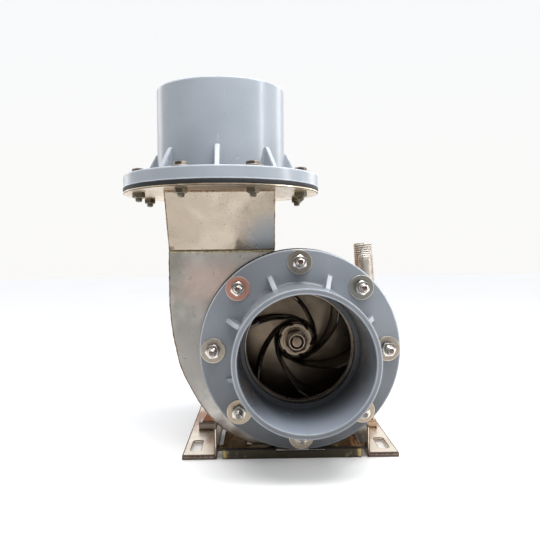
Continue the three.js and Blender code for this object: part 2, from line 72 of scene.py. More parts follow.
Point = tuple[float, float]
Range = tuple[float, float]
Triple = tuple[float, float, float]
Colour = tuple[int, int, int]
Socket = bpy.types.NodeSocket
Feed = float | Colour | Socket
Vert = bmesh.types.BMVert

MM = 0.001
CASING = "casing"
ROTOR = "rotor"
STILL = Matrix.Identity(4)
TO_FRONT = Matrix.Rotation(math.pi / 2, 4, "X")  # turns a shape's Z towards the suction side
TO_BACK = Matrix.Rotation(-math.pi / 2, 4, "X")  # turns a shape's Z along the shaft, to the pulley
CREASE = math.radians(38)  # faces that meet at more than this keep a crisp edge
BEND = math.radians(14)  # a line that turns by more than this has a corner there
LEAST_RADIUS = 0.02  # a rounded corner that is moved inwards keeps this radius
CORNER_SHARE = 0.45  # how much of a side one rounded corner may take
GUARD_SHARE = 0.9  # how much of what is left its guard may take
MIDDLE = -15.0  # X of the middle of the base
FRONT_Y = 27.0  # Y of the volute's front face
OUTLET = (-133.0, 61.5)  # X and Y of the discharge's axis


# Drawing: outlines, and the closed shells made from them


@dataclass(frozen=True)
class Outline:
    """A drawn line with rounded corners, which has the material on its left."""

    corners: tuple[Point, ...]  # the points of the line before its corners are rounded
    radius: float = 0.0  # the corner radius
    steps: int = 3  # the number of chords in a rounded corner
    guard: float = 1.0  # how far past a rounded corner the flat begins
    closed: bool = True  # whether the last point joins the first

    def _bends(self) -> list[tuple[Vector, Vector, float]]:
        """Gives the way in, the way out and the left turn at each point.

        Returns:
            One tuple for each corner, with a turn of 0 where the line isn't rounded.
        """
        points = [Vector(p) for p in self.corners]
        bends = []
        for i, here in enumerate(points):
            before = here - points[i - 1]
            after = points[(i + 1) % len(points)] - here
            if not self.closed and i == 0:
                before = after
            if not self.closed and i == len(points) - 1:
                after = before
            way_in, way_out = before.normalized(), after.normalized()
            turn = math.atan2(way_in.cross(way_out), way_in.dot(way_out))
            bends.append((way_in, way_out, turn if self.radius and abs(turn) > BEND else 0.0))
        return bends

    def loop(self, inset: float = 0.0) -> list[Point]:
        """Gives the rounded line, moved into its material.

        Args:
            inset: how far the line moves to its left.

        Returns:
            The points, as many for every inset.
        """
        bends = self._bends()
        shifted = []
        for corner, (way_in, way_out, _) in zip(self.corners, bends):
            left_in, left_out = way_in.orthogonal(), way_out.orthogonal()
            mitre = (left_in + left_out) / (1.0 + left_in.dot(left_out))
            shifted.append(Vector(corner) + mitre * inset)
        line: list[Point] = []
        for i, (here, (way_in, way_out, turn)) in enumerate(zip(shifted, bends)):
            if not turn:
                line.append(tuple(here))
                continue
            before = (here - shifted[i - 1]).length
            after = (shifted[(i + 1) % len(shifted)] - here).length
            side = math.copysign(1.0, turn)
            slope = math.tan(abs(turn) / 2)
            wanted = max(LEAST_RADIUS, self.radius - inset * side) * slope
            back = min(wanted, CORNER_SHARE * before, CORNER_SHARE * after)
            start = here - way_in * back
            centre = start + way_in.orthogonal() * side * back / slope
            line.append(tuple(start - way_in * min(self.guard, GUARD_SHARE * (before / 2 - back))))
            for step in range(self.steps + 1):
                spun = Matrix.Rotation(turn * step / self.steps, 2) @ (start - centre)
                line.append(tuple(centre + spun))
            end = here + way_out * back
            line.append(tuple(end + way_out * min(self.guard, GUARD_SHARE * (after / 2 - back))))
        return line

    def wear(self) -> list[float]:
        """Marks the points that wear.

        Returns:
            1 for each point of loop() on a rounded outer corner, and 0 for the others.
        """
        marks = []
        for _, _, turn in self._bends():
            mark = 1.0 if turn > 0 else 0.0
            marks += [0.0, *[mark] * (self.steps + 1), 0.0] if turn else [0.0]
        return marks


def arc(centre: Point, radius: float, start: float, end: float, steps: int) -> list[Point]:
    """Gives the points of an arc.

    Args:
        centre: the arc's centre.
        radius: its radius.
        start: its first angle in degrees, anticlockwise from the first axis.
        end: its last angle.
        steps: the number of chords.

    Returns:
        One point more than there are chords.
    """
    points = []
    for step in range(steps + 1):
        angle = math.radians(start + (end - start) * step / steps)
        points.append((centre[0] + radius * math.cos(angle), centre[1] + radius * math.sin(angle)))
    return points


def circle(radius: float, steps: int = 96) -> Outline:
    """Gives a round outline, anticlockwise."""
    return Outline(tuple(arc((0.0, 0.0), radius, 0, 360, steps)[:-1]))


def hole(outline: Outline) -> Outline:
    """Gives the same line the other way round, so that the material is outside it."""
    return Outline(outline.corners[::-1], outline.radius, outline.steps, outline.guard)


def box_outline(x0: float, y0: float, x1: float, y1: float, radius: float = 0.0, steps: int = 3) -> Outline:
    """Gives a rectangle with rounded corners."""
    return Outline(((x0, y0), (x1, y0), (x1, y1), (x0, y1)), radius, steps)


SHAFT_HOLE = hole(circle(25.0, 48))


class Drawn(Enum):
    """The plane in which a plate's outline is drawn."""

    FRONT = "X and Z, thick along Y"
    FLOOR = "X and Y, thick along Z"
    SIDE = "Y and Z, thick along X"

    def point(self, across: float, up: float, deep: float) -> Triple:
        """Puts a drawn point, and its place through the thickness, into X, Y and Z."""
        standing = (across, deep, up) if self is Drawn.FRONT else (deep, across, up)
        return (across, up, deep) if self is Drawn.FLOOR else standing


@dataclass(frozen=True)
class Rim:
    """How a plate's edges are finished."""

    round: float = 0.5  # the radius between a face and an edge
    fade: float = 2.5  # how far wear reaches in from the edge
    steps: int = 2  # the number of chords in the radius

    def profile(self, low: float, high: float) -> list[Triple]:
        """Gives the plate's edge from its lower face to its upper one.

        Args:
            low: the lower face's height.
            high: the upper face's height.

        Returns:
            For each line of the edge its inset, height and wear.
        """
        quarter = [0.5 * math.pi * step / self.steps for step in range(self.steps + 1)]
        face = [(self.round + self.fade, 0.0, 0.0), (self.round + 0.35 * self.fade, 0.0, 0.45)]
        turn = [(self.round * (1 - math.sin(a)), self.round * (1 - math.cos(a)), 1.0) for a in quarter]
        spare = (high - low) / 2 - self.round
        side = [(0.0, self.round + min(self.fade, spare * 0.8), 0.0)] if spare > 0.4 else []
        half = face + turn + side
        below = [(inset, low + rise, worn) for inset, rise, worn in half]
        above = [(inset, high - rise, worn) for inset, rise, worn in reversed(half)]
        return below + above


class Draft:
    """Collects the closed shells of one piece, and makes a Blender object of them."""

    def __init__(self, name: str, *finishes: "Finish") -> None:
        """Starts an empty piece.

        Args:
            name: the piece's name.
            finishes: its materials, which the shells name by their place in this list.
        """
        self.name = name
        self.finishes = finishes
        self.mesh = bmesh.new()
        self.worn = self.mesh.verts.layers.float.new("edge")

    def face(self, corners: Sequence[Vert], finish: int = 0) -> None:
        """Adds a face, without the corners that fall together.

        Args:
            corners: its points.
            finish: the material's place in finishes.
        """
        ring = list(dict.fromkeys(corners))
        if len(ring) > 2:
            face = self.mesh.faces.new(ring)
            face.material_index = finish
            face.smooth = True

    def loft(
        self,
        rows: Sequence[Sequence[Sequence[float]]],
        worn: Sequence[Sequence[float]],
        finish: int = 0,
        place: Matrix = STILL,
        wrap: bool = False,
        lids: bool = False,
    ) -> list[list[Vert]]:
        """Joins rings of points by faces.

        Args:
            rows: rings of one length, or of a single point where the shell closes to a tip.
            worn: the wear of each point.
            finish: the material's place in finishes.
            place: where the rings go.
            wrap: whether the last ring joins the first.
            lids: whether the first and last rings are closed by a face.

        Returns:
            The new points, ring by ring.
        """
        made = []
        for row, marks in zip(rows, worn):
            made.append([self.mesh.verts.new(place @ Vector(p)) for p in row])
            for vert, mark in zip(made[-1], marks):
                vert[self.worn] = mark
        for low, high in list(zip(made, made[1:])) + ([(made[-1], made[0])] if wrap else []):
            count = max(len(low), len(high))
            for i in range(count):
                j = (i + 1) % count
                corners = (low[i % len(low)], low[j % len(low)], high[j % len(high)], high[i % len(high)])
                self.face(corners, finish)
        if lids:
            self.face(made[0], finish)
            self.face(made[-1], finish)
        return made

    def turned(
        self,
        section: Outline,
        place: Matrix = STILL,
        segments: int = 96,
        stir: Callable[[Vector], Vector] | None = None,
    ) -> None:
        """Turns a section about the Z axis.

        Args:
            section: radius and height; an open line starts and ends on the axis.
            place: where the turned body goes.
            segments: the number of steps round the axis.
            stir: moves each point a little, for a body that isn't quite true.
        """
        rows, worn = [], []
        for (radius, height), mark in zip(section.loop(), section.wear()):
            row = ring_row(radius, segments, height) if radius > 1e-6 else [(0.0, 0.0, height)]
            rows.append([stir(Vector(p)) for p in row] if stir else row)
            worn.append([mark] * len(row))
        self.loft(rows, worn, 0, place, wrap=section.closed)

    def plate(
        self,
        drawn: Drawn,
        outline: Outline,
        low: float,
        high: float,
        holes: Sequence[Outline] = (),
        rim: Rim = Rim(),
        place: Matrix = STILL,
        hole_rim: Rim | None = None,
    ) -> None:
        """Makes a flat plate with softened edges.

        Args:
            drawn: the plane of the outline.
            outline: the plate's edge, anticlockwise.
            low: the lower face, along the plate's thickness.
            high: the upper face.
            holes: the edges of its holes, clockwise.
            rim: how its edges are finished.
            place: where the plate goes.
            hole_rim: how the holes' edges are finished, where they differ.
        """
        sides = []
        for line, trim in ((outline, rim), *((line, hole_rim or rim) for line in holes)):
            rows, worn = [], []
            for inset, height, mark in trim.profile(low, high):
                rows.append([drawn.point(u, v, height) for u, v in line.loop(inset)])
                on_edge = inset <= trim.round + 1e-6
                worn.append([max(mark, w) if on_edge else mark for w in line.wear()])
            sides.append(self.loft(rows, worn, 0, place))
        for end in (0, -1):
            verts = [vert for side in sides for vert in side[end]]
            for corners in tessellate_polygon([[vert.co for vert in side[end]] for side in sides]):
                self.face([verts[i] for i in corners])

    def bead(
        self, corners: Sequence[Sequence[float]], width: float, closed: bool = False, ripple: float = 2.4
    ) -> None:
        """Lays a weld bead with its ripples along a line.

        Args:
            corners: the points of the line.
            width: the bead's mean width.
            closed: whether the line ends where it starts.
            ripple: the distance from one ripple to the next.
        """
        sides = 8
        path = spaced([Vector(c) for c in corners], ripple / 3, closed)
        seed = Vector(corners[0]) * 0.13
        rows, along, across = [], 0.0, None
        for i, here in enumerate(path):
            before = path[i - 1] if i or closed else here
            after = path[(i + 1) % len(path)] if i < len(path) - 1 or closed else here
            way = (after - before).normalized()
            if across is None:
                across = way.orthogonal().normalized()
            across = (across - way * across.dot(way)).normalized()
            other = way.cross(across)
            along += (here - before).length if i else 0.0
            row = []
            for k in range(sides):
                angle = 2 * math.pi * k / sides
                wave = math.sin(2 * math.pi * along / ripple + 1.3 * math.cos(angle))
                lump = noise.noise(seed + Vector((along * 0.11, angle * 0.3, 0.0)))
                reach = width / 2 * (0.92 + 0.1 * wave + 0.42 * lump)
                row.append(here + (across * math.cos(angle) + other * math.sin(angle)) * reach)
            rows.append(row)
        if not closed:
            rows = [[path[0]], *rows, [path[-1]]]
        self.loft(rows, [[0.5] * len(row) for row in rows], wrap=closed)

    def hexagon(
        self, flats: float, height: float, place: Matrix, bore: float = 0.0, finish: int = 0
    ) -> None:
        """Makes a nut, or with no bore a bolt head, with its corners chamfered at the top.

        Args:
            flats: the width across flats.
            height: its height along Z.
            place: where it goes.
            bore: the radius of the hole.
            finish: the material's place in finishes.
        """
        count = 72
        shoulder = 0.43 * flats  # the flat top's radius
        corner = 0.568 * flats  # the corners are turned down to this radius
        angles = [2 * math.pi * i / count for i in range(count)]
        sixth = math.pi / 3
        reach = [min(flats / 2 / math.cos(a % sixth - sixth / 2), corner) for a in angles]

        def ring(inset: float, heights: Sequence[float]) -> list[Vector]:
            """Gives one line round the nut's sides."""
            polar = zip(reach, angles, heights)
            return [Vector(((r - inset) * math.cos(a), (r - inset) * math.sin(a), h)) for r, a, h in polar]

        drop = [max(0.0, r - shoulder) * 0.6 for r in reach]
        tops = [height - d for d in drop]
        lower = [0.4 + 0.5 * d for d in drop]
        rows = [
            ring(0.6, [0.0] * count),
            ring(0.0, lower),
            ring(0.0, [low + 0.8 for low in lower]),
            ring(0.0, [top - 0.8 for top in tops]),
            ring(0.0, tops),
            ring_row(shoulder - 0.15, count, height - 0.05),
            ring_row(shoulder - 1.0, count, height),
        ]
        marks = [0.6, 0.8, 0.0, 0.0, 1.0, 1.0, 0.2]
        if bore:
            inner = ((bore + 1.0, height), (bore + 0.1, height - 0.9), (bore, 0.9), (bore + 0.8, 0.0))
            rows += [ring_row(radius, count, level) for radius, level in inner]
            marks += [0.8, 0.8, 0.0, 0.0]
        else:
            rows = [[(0.0, 0.0, 0.0)], *rows, [(0.0, 0.0, height)]]
            marks = [0.0, *marks, 0.0]
        self.loft(rows, [[m] * len(r) for m, r in zip(marks, rows)], finish, place, wrap=bool(bore))

    def thread(
        self, radius: float, pitch: float, length: float, place: Matrix, finish: int = 0, dome: float = 1.6
    ) -> None:
        """Makes a threaded stud from Z = 0 up, with a rounded shoulder and a flat end.

        Args:
            radius: the thread's outer radius.
            pitch: the distance from one turn to the next.
            length: the stud's length.
            place: where it goes.
            finish: the material's place in finishes.
            dome: the height of its shoulder.
        """
        count = 28
        root = radius - 0.3 * pitch
        cut, cut_marks = screw(radius, pitch, length - dome, count, 0.25)
        rows = [[(0.0, 0.0, 0.0)], *cut]
        marks = [[0.0], *cut_marks]
        for share, rise in ((0.97, 0.25), (0.88, 0.62), (0.76, 0.88), (0.66, 0.98), (0.6, 1.0)):
            rows.append(ring_row(root * share, count, length - dome + dome * rise))
            marks.append([1.0 if share > 0.6 else 0.0] * count)
        rows.append([(0.0, 0.0, length)])
        marks.append([0.0])
        self.loft(rows, marks, finish, place)

    def done(self, *replaced: str, body: str = CASING) -> None:
        """Makes the Blender object, and joins it to the frame.

        Args:
            replaced: the nodes that it stands for.
            body: the body that it rides on.
        """
        bmesh.ops.recalc_face_normals(self.mesh, faces=self.mesh.faces)
        for edge in self.mesh.edges:
            edge.smooth = len(edge.link_faces) == 2 and edge.calc_face_angle() < CREASE
        data = bpy.data.meshes.new(self.name)
        self.mesh.to_mesh(data)
        self.mesh.free()
        data.transform(PUMP)
        for finish in self.finishes:
            data.materials.append(finish.material())
        piece = added(self.name, data)
        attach(piece, body)
        if replaced:
            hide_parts(*replaced)
        log.info("%s: %d faces on %s", self.name, len(data.polygons), body)


def ring_row(radius: float, count: int, height: float) -> list[Triple]:
    """Gives a level ring of points about Z."""
    turns = [2 * math.pi * i / count for i in range(count)]
    return [(radius * math.cos(turn), radius * math.sin(turn), height) for turn in turns]


def screw(
    radius: float, pitch: float, length: float, count: int, runout: float
) -> tuple[list[list[Triple]], list[list[float]]]:
    """Gives the rows of a thread.

    Args:
        radius: the outer radius.
        pitch: the distance from one turn to the next.
        length: the thread's length, from Z = 0 up.
        count: the number of points round it.
        runout: how full the last turn is.

    Returns:
        The rows and their wear.
    """
    depth = 0.54 * pitch
    steps = int(length / pitch * 6)  # six rings to each turn of the thread
    steepness = 2.6  # a flank's share of the pitch is one part in this
    rows, marks = [], []
    for k in range(steps + 1):
        height = length * k / steps
        fullness = min(1.0, (length - height) / pitch + runout)
        row, worn = [], []
        for i in range(count):
            turn = 2 * math.pi * i / count
            phase = (height / pitch - i / count) % 1.0
            crest = min(1.0, steepness * min(phase, 1 - phase))
            reach = radius - depth * (1 - crest) - 0.5 * depth * (1 - fullness)
            row.append((reach * math.cos(turn), reach * math.sin(turn), height))
            worn.append(crest)
        rows.append(row)
        marks.append(worn)
    return rows, marks


def spaced(path: Sequence[Vector], step: float, closed: bool = False) -> list[Vector]:
    """Gives points at even distances along a line.

    Args:
        path: the line's corners.
        step: the distance between two points.
        closed: whether the line ends where it starts.

    Returns:
        The points, without a second one at the start of a closed line.
    """
    ends = list(zip(path, path[1:])) + ([(path[-1], path[0])] if closed else [])
    length = sum((b - a).length for a, b in ends)
    count = max(2, round(length / step))
    points = []
    gone, leg = 0.0, 0
    for i in range(count if closed else count + 1):
        want = length * i / count
        while leg < len(ends) - 1 and gone + (ends[leg][1] - ends[leg][0]).length < want:
            gone += (ends[leg][1] - ends[leg][0]).length
            leg += 1
        start, end = ends[leg]
        points.append(start.lerp(end, min(1.0, (want - gone) / max((end - start).length, 1e-9))))
    return points


def turned_to(angle: float, radius: float = 0.0, height: float = 0.0) -> Matrix:
    """Turns a shape about Z to an angle in degrees, and moves it out along its new X and up."""
    turn = Matrix.Rotation(math.radians(angle), 4, "Z")
    return turn @ Matrix.Translation((radius, 0.0, height))


def moved(x: float = 0.0, y: float = 0.0, z: float = 0.0) -> Matrix:
    """Moves a shape."""
    return Matrix.Translation((x, y, z))


def added(name: str, data: bpy.types.ID) -> bpy.types.Object:
    """Adds an object to the scene.

    Args:
        name: its name.
        data: its mesh, light or camera.

    Returns:
        The object.
    """
    new = bpy.data.objects.new(name, data)
    bpy.context.scene.collection.objects.link(new)
    return new


def pump_matrix() -> Matrix:
    """Gives the matrix from pump millimetres to the frame's metres.

    Returns:
        A scale and a move, read from the shaft and the casing's front plate.
    """
    low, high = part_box("shaft")
    plate_low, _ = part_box("volute_front_plate")
    origin = Vector(((low.x + high.x) / 2, plate_low.y - FRONT_Y * MM, (low.z + high.z) / 2))
    return Matrix.Translation(origin) @ Matrix.Scale(MM, 4)


PUMP = pump_matrix()


# Materials: a board that lays out nodes, and the pump's finishes


def linear(colour: Colour) -> tuple[float, float, float, float]:
    """Turns a colour as seen on a screen into Blender's linear one.

    Args:
        colour: red, green and blue, 0 to 255.

    Returns:
        The same with an alpha of 1, 0 to 1.
    """
    shares = [c / 255 for c in colour]
    light = [s / 12.92 if s <= 0.04045 else ((s + 0.055) / 1.055) ** 2.4 for s in shares]
    return (*light, 1.0)


class NodeBoard:
    """Lays out shader nodes in a node tree.

    Attributes:
        tree: the node tree.
    """

    def __init__(self, tree: bpy.types.NodeTree) -> None:
        """Starts a board on a node tree."""
        self.tree = tree

    def node(
        self, kind: str, inputs: dict[int | str, object], output: int | str = 0, **settings: object
    ) -> Socket:
        """Adds a node.

        Args:
            kind: the node's type.
            inputs: what goes into its inputs, by place or name.
            output: the output that is wanted.
            settings: the node's own properties.

        Returns:
            The output socket.
        """
        node = self.tree.nodes.new(kind)
        for key, value in settings.items():
            setattr(node, key, value)
        for key, value in inputs.items():
            self.feed(node.inputs[key], value)
        return node.outputs[output]

    def feed(self, socket: Socket, value: object) -> None:
        """Links a socket, or sets a value on it.

        Args:
            socket: the input socket.
            value: another node's output, or a number, vector or colour.
        """
        if isinstance(value, Socket):
            self.tree.links.new(value, socket)
        elif socket.type == "RGBA":
            socket.default_value = linear(value)
        else:
            socket.default_value = value

    def maths(self, operation: str, first: Feed, second: Feed = 0.0) -> Socket:
        """Adds a Math node."""
        return self.node("ShaderNodeMath", {0: first, 1: second}, operation=operation)

    def times(self, first: Feed, second: Feed) -> Socket:
        """Multiplies two values."""
        return self.maths("MULTIPLY", first, second)

    def less(self, value: Feed, share: Feed, cut: float) -> Socket:
        """Takes a part of a value away, by a share."""
        return self.times(value, self.between(share, 1.0, 1.0 - cut))

    def vector(self, operation: str, first: Feed, second: Feed) -> Socket:
        """Adds a Vector Math node."""
        return self.node("ShaderNodeVectorMath", {0: first, 1: second}, operation=operation)

    def length(self, vector: Feed) -> Socket:
        """Gives a vector's length."""
        return self.node("ShaderNodeVectorMath", {0: vector}, output="Value", operation="LENGTH")

    def mask(self, value: Feed, low: float, high: float, top: float = 1.0) -> Socket:
        """Gives 0 where a value is at low, and top where it is at high, with a soft step between."""
        inputs = {"Value": value, "From Min": low, "From Max": high, "To Min": 0.0, "To Max": top}
        return self.node("ShaderNodeMapRange", inputs, interpolation_type="SMOOTHSTEP")

    def mix(self, share: Feed, below: Feed, above: Feed) -> Socket:
        """Mixes two colours by a share."""
        return self.node("ShaderNodeMix", {0: share, 6: below, 7: above}, output=2, data_type="RGBA")

    def between(self, share: Feed, below: Feed, above: Feed) -> Socket:
        """Gives a number between two, by a share."""
        return self.node("ShaderNodeMix", {0: share, 2: below, 3: above}, data_type="FLOAT")


class Board(NodeBoard):
    """Lays out the nodes of one material, in pump millimetres.

    Attributes:
        material: the new material.
        place: the surface point in pump millimetres.
        edge: how worn the point's edge is, 0 to 1; some finishes also paint highlights there.
    """

    def __init__(self, name: str) -> None:
        """Starts a material.

        Args:
            name: the material's name.
        """
        self.material = bpy.data.materials.new(name)
        self.material.use_nodes = True
        super().__init__(self.material.node_tree)
        self.shader = self.tree.nodes["Principled BSDF"]
        spot = self.node("ShaderNodeTexCoord", {}, output="Object")
        scaling = {0: spot, 1: (1 / MM,) * 3, 2: -PUMP.translation / MM}
        self.place = self.node("ShaderNodeVectorMath", scaling, operation="MULTIPLY_ADD")
        self.edge = self.node("ShaderNodeAttribute", {}, output="Fac", attribute_name="edge")

    def axis(self, name: str) -> Socket:
        """Gives X, Y or Z of the surface point."""
        return self.node("ShaderNodeSeparateXYZ", {0: self.place}, output=name)

    def radius(self) -> Socket:
        """Gives the surface point's distance from the shaft axis."""
        return self.length(self.vector("MULTIPLY", self.place, (1, 0, 1)))

    def grains(self, size: float, stretch: Triple = (1, 1, 1)) -> Socket:
        """Gives the surface point counted in grains of a size, longer where stretch is larger."""
        return self.vector("MULTIPLY", self.place, [1 / (size * s) for s in stretch])

    def noise(
        self,
        size: float,
        detail: float = 3.0,
        rough: float = 0.5,
        twist: float = 0.0,
        stretch: Triple = (1, 1, 1),
    ) -> Socket:
        """Adds soft noise.

        Args:
            size: the size of a grain in millimetres.
            detail: the number of finer layers.
            rough: how strong the finer layers are.
            twist: how much the grain is distorted.
            stretch: the grain's length along X, Y and Z.

        Returns:
            A value round 0.5.
        """
        inputs = {"Vector": self.grains(size, stretch), "Scale": 1.0, "Detail": detail}
        return self.node("ShaderNodeTexNoise", {**inputs, "Roughness": rough, "Distortion": twist})

    def cells(self, size: float, output: str = "Distance") -> Socket:
        """Adds scattered cells of a size in millimetres."""
        return self.node("ShaderNodeTexVoronoi", {"Vector": self.grains(size), "Scale": 1.0}, output=output)

    def near(self, centre: Triple, size: Triple) -> Socket:
        """Gives 1 at a point and 0 at the size away from it, with a ragged border.

        Args:
            centre: the point.
            size: how far it is to 0 along X, Y and Z.

        Returns:
            The value.
        """
        away = self.vector("SUBTRACT", self.place, centre)
        length = self.length(self.vector("MULTIPLY", away, [1 / s for s in size]))
        ragged = self.maths("ADD", length, self.between(self.noise(min(size) * 0.8, 4.0), -0.45, 0.45))
        return self.mask(ragged, 1.0, 0.25)

    def bump(self, *layers: tuple[Socket, float]) -> Socket:
        """Stacks bumps.

        Args:
            layers: heights from 0 to 1, each with its depth in millimetres.

        Returns:
            The bumped normal.
        """
        normal = None
        for height, depth in layers:
            inputs = {"Height": height, "Distance": depth * MM, "Strength": 1.0}
            if normal is not None:
                inputs["Normal"] = normal
            normal = self.node("ShaderNodeBump", inputs)
        return normal

    def dress(self, colour: Feed, rough: Feed, metal: Feed, normal: Socket, **others: Feed) -> None:
        """Feeds the shader.

        Args:
            colour: the base colour.
            rough: the roughness.
            metal: the metallic share.
            normal: the bumped normal.
            others: what goes into its other sockets, by name.
        """
        values = {"Base Color": colour, "Roughness": rough, "Metallic": metal, "Normal": normal, **others}
        for name, value in values.items():
            self.feed(self.shader.inputs[name], value)


@dataclass(frozen=True)
class Finish:
    """A surface finish."""

    name: str
    slot: str  # the record's slot that it belongs to

    def material(self) -> bpy.types.Material:
        """Gives the finish's material.

        Returns:
            The material, which is made once.
        """
        known = bpy.data.materials.get(self.name)
        if known:
            return known
        board = Board(self.name)
        self.lay(board)
        return board.material

    def lay(self, board: Board) -> None:
        """Lays out the finish's nodes on a board."""
        raise NotImplementedError


@dataclass(frozen=True)
class MouldedPlastic(Finish):
    """Satin grey moulded plastic: faint flow marks, pale worn edges and scratches with a painted highlight on
    rib noses and rim edges, fine dark specks, and where set painted shade towards the floor and inside the
    socket with a painted pool of light on its lower inside.
    """

    light: Colour = (156, 162, 170)
    deep: Colour = (148, 155, 163)
    rubbed_and_highlight: Colour = (212, 218, 226)  # the colour of its rubbed edges and scratches, and of the painted highlight on its rib noses and rim edges
    # the colour of its dark specks, also used for its painted shade
    dirt_and_shade: Colour = (48, 49, 51)
    foot: float = 0.0  # how strong its painted light is: shade towards the floor and on the socket's upper right inside, and a pool of light on the socket's lower inside
    throat_shade: float = 0.0  # how much painted shade darkens the socket's inner end and its left wall

    def lay(self, board: Board) -> None:
        """Lays out the plastic.

        Args:
            board: the material's board.
        """
        x, y, z = (board.axis(name) for name in "XYZ")
        colour = board.mix(board.mask(board.noise(80, 2.0), 0.3, 0.7), self.deep, self.light)
        # Pale edges: partly wear, partly a painted highlight on the rib noses and rim edges.
        worn = board.times(board.edge, board.between(board.noise(9), 0.7, 1.0))
        colour = board.mix(board.mask(worn, 0.4, 0.95, 0.65), colour, self.rubbed_and_highlight)
        scratch = board.noise(1.3, 2.0, stretch=(1, 1, 26), twist=0.6)
        colour = board.mix(board.mask(scratch, 0.7, 0.76, 0.22), colour, self.rubbed_and_highlight)
        speck = board.times(board.mask(board.cells(3.6), 0.14, 0.08), board.mask(board.noise(17), 0.52, 0.62))
        colour = board.mix(board.times(speck, 0.7), colour, self.dirt_and_shade)
        # Painted light: the socket's lower inside is made paler, as if lit from above.
        inner = board.mask(board.radius(), 104.5, 101.5)
        inside = board.times(inner, board.mask(z, -20.0, -100.0, self.foot))
        colour = board.mix(inside, colour, (182, 192, 208))
        # Painted shade: darker towards the floor and at the stub's front end.
        low = board.less(board.mask(z, 110.0, -170.0), inner, 1.0)
        low = board.maths("MAXIMUM", low, board.mask(y, -144.0, -148.0, 0.5))
        low = board.times(low, board.between(board.noise(34), 0.8, 1.0))
        colour = board.mix(board.times(low, self.foot), colour, self.dirt_and_shade)
        # Painted shade inside the socket: darker towards its inner end and on its left wall, and on its upper
        # right wall.
        deep = board.maths("MAXIMUM", board.mask(y, -110.0, 10.0), board.mask(x, -40.0, -96.0))
        upper = board.times(board.mask(z, -30.0, 60.0), board.mask(x, 20.0, 90.0))
        for part, share in ((deep, self.throat_shade), (upper, 0.4 * self.foot)):
            colour = board.mix(board.times(board.times(inner, part), share), colour, self.dirt_and_shade)
        normal = board.bump((board.noise(26, 2.0), 0.1), (board.noise(0.9, 2.0), 0.015))
        board.dress(colour, board.between(board.noise(14, 4.0), 0.2, 0.3), 0.0, normal, IOR=1.52)


@dataclass(frozen=True)
class SheetRubber(Finish):
    """Black sheet rubber with dust on its cut edge."""

    def lay(self, board: Board) -> None:
        """Lays out the rubber.

        Args:
            board: the material's board.
        """
        dusty = board.mask(board.noise(7, 4.0), 0.5, 0.75, 0.5)
        colour = board.mix(dusty, (17, 18, 21), (44, 45, 47))
        lumps, grain = board.noise(5, 3.0), board.noise(0.7)
        board.dress(colour, board.between(dusty, 0.62, 0.9), 0.0, board.bump((lumps, 0.3), (grain, 0.05)))


@dataclass(frozen=True)
class Coat:
    """The base colour, roughness and metallic share, which the marks on a steel sheet change."""

    colour: Feed
    rough: Feed
    metal: Feed


@dataclass(frozen=True)
class Mark:
    """A mark on a steel sheet."""

    def over(self, board: Board, coat: Coat) -> Coat:
        """Gives the coat with the mark on it."""
        raise NotImplementedError


@dataclass(frozen=True)
class Patch(Mark):
    """A stain or heat tint round one place."""

    centre: Triple
    size: Triple  # how far it reaches along X, Y and Z
    colour: Colour
    share: float = 0.8
    dull: float = 0.45  # the roughness that it brings
    bare: float = 0.0  # how much less metallic it is

    def over(self, board: Board, coat: Coat) -> Coat:
        """Gives the coat with the patch on it.

        Args:
            board: the material's board.
            coat: the coat so far.

        Returns:
            The new coat.
        """
        here = board.times(board.near(self.centre, self.size), self.share)
        rough = board.between(here, coat.rough, self.dull)
        metal = board.less(coat.metal, here, self.bare) if self.bare else coat.metal
        return Coat(board.mix(here, coat.colour, self.colour), rough, metal)


@dataclass(frozen=True)
class Specks(Mark):
    """Small spots that lie in loose groups."""

    size: float  # the distance between spots
    spread: float  # how much of the sheet has them, 0 to 1
    colour: Colour
    bare: float = 0.7  # how much less metallic they are

    def over(self, board: Board, coat: Coat) -> Coat:
        """Gives the coat with the spots on it.

        Args:
            board: the material's board.
            coat: the coat so far.

        Returns:
            The new coat.
        """
        spot = board.mask(board.cells(self.size), 0.24, 0.12)
        low, high = 0.62 - 0.3 * self.spread, 0.7 - 0.25 * self.spread
        here = board.times(spot, board.mask(board.noise(self.size * 6, 3.0), low, high))
        colour = board.mix(board.times(here, 0.85), coat.colour, self.colour)
        return Coat(colour, board.between(here, coat.rough, 0.6), board.less(coat.metal, here, self.bare))


@dataclass(frozen=True)
class GrindingMarks(Mark):
    """Overlapping round marks of a flap disc."""

    centre: Triple
    reach: Triple  # how far it goes along X, Y and Z
    size: float = 17.0  # the size of one mark

    def over(self, board: Board, coat: Coat) -> Coat:
        """Gives the coat with the ground marks on it.

        Args:
            board: the material's board.
            coat: the coat so far.

        Returns:
            The new coat.
        """
        tone = board.node("ShaderNodeSeparateColor", {0: board.cells(self.size, "Color")})
        rings = board.maths("SINE", board.times(board.cells(self.size), 58.0))
        marks = board.times(board.between(rings, 0.75, 1.0), board.between(tone, 0.25, 1.0))
        here = board.times(board.near(self.centre, self.reach), marks)
        rough = board.between(here, coat.rough, 0.3)
        return Coat(board.mix(board.times(here, 0.75), coat.colour, (158, 160, 150)), rough, coat.metal)


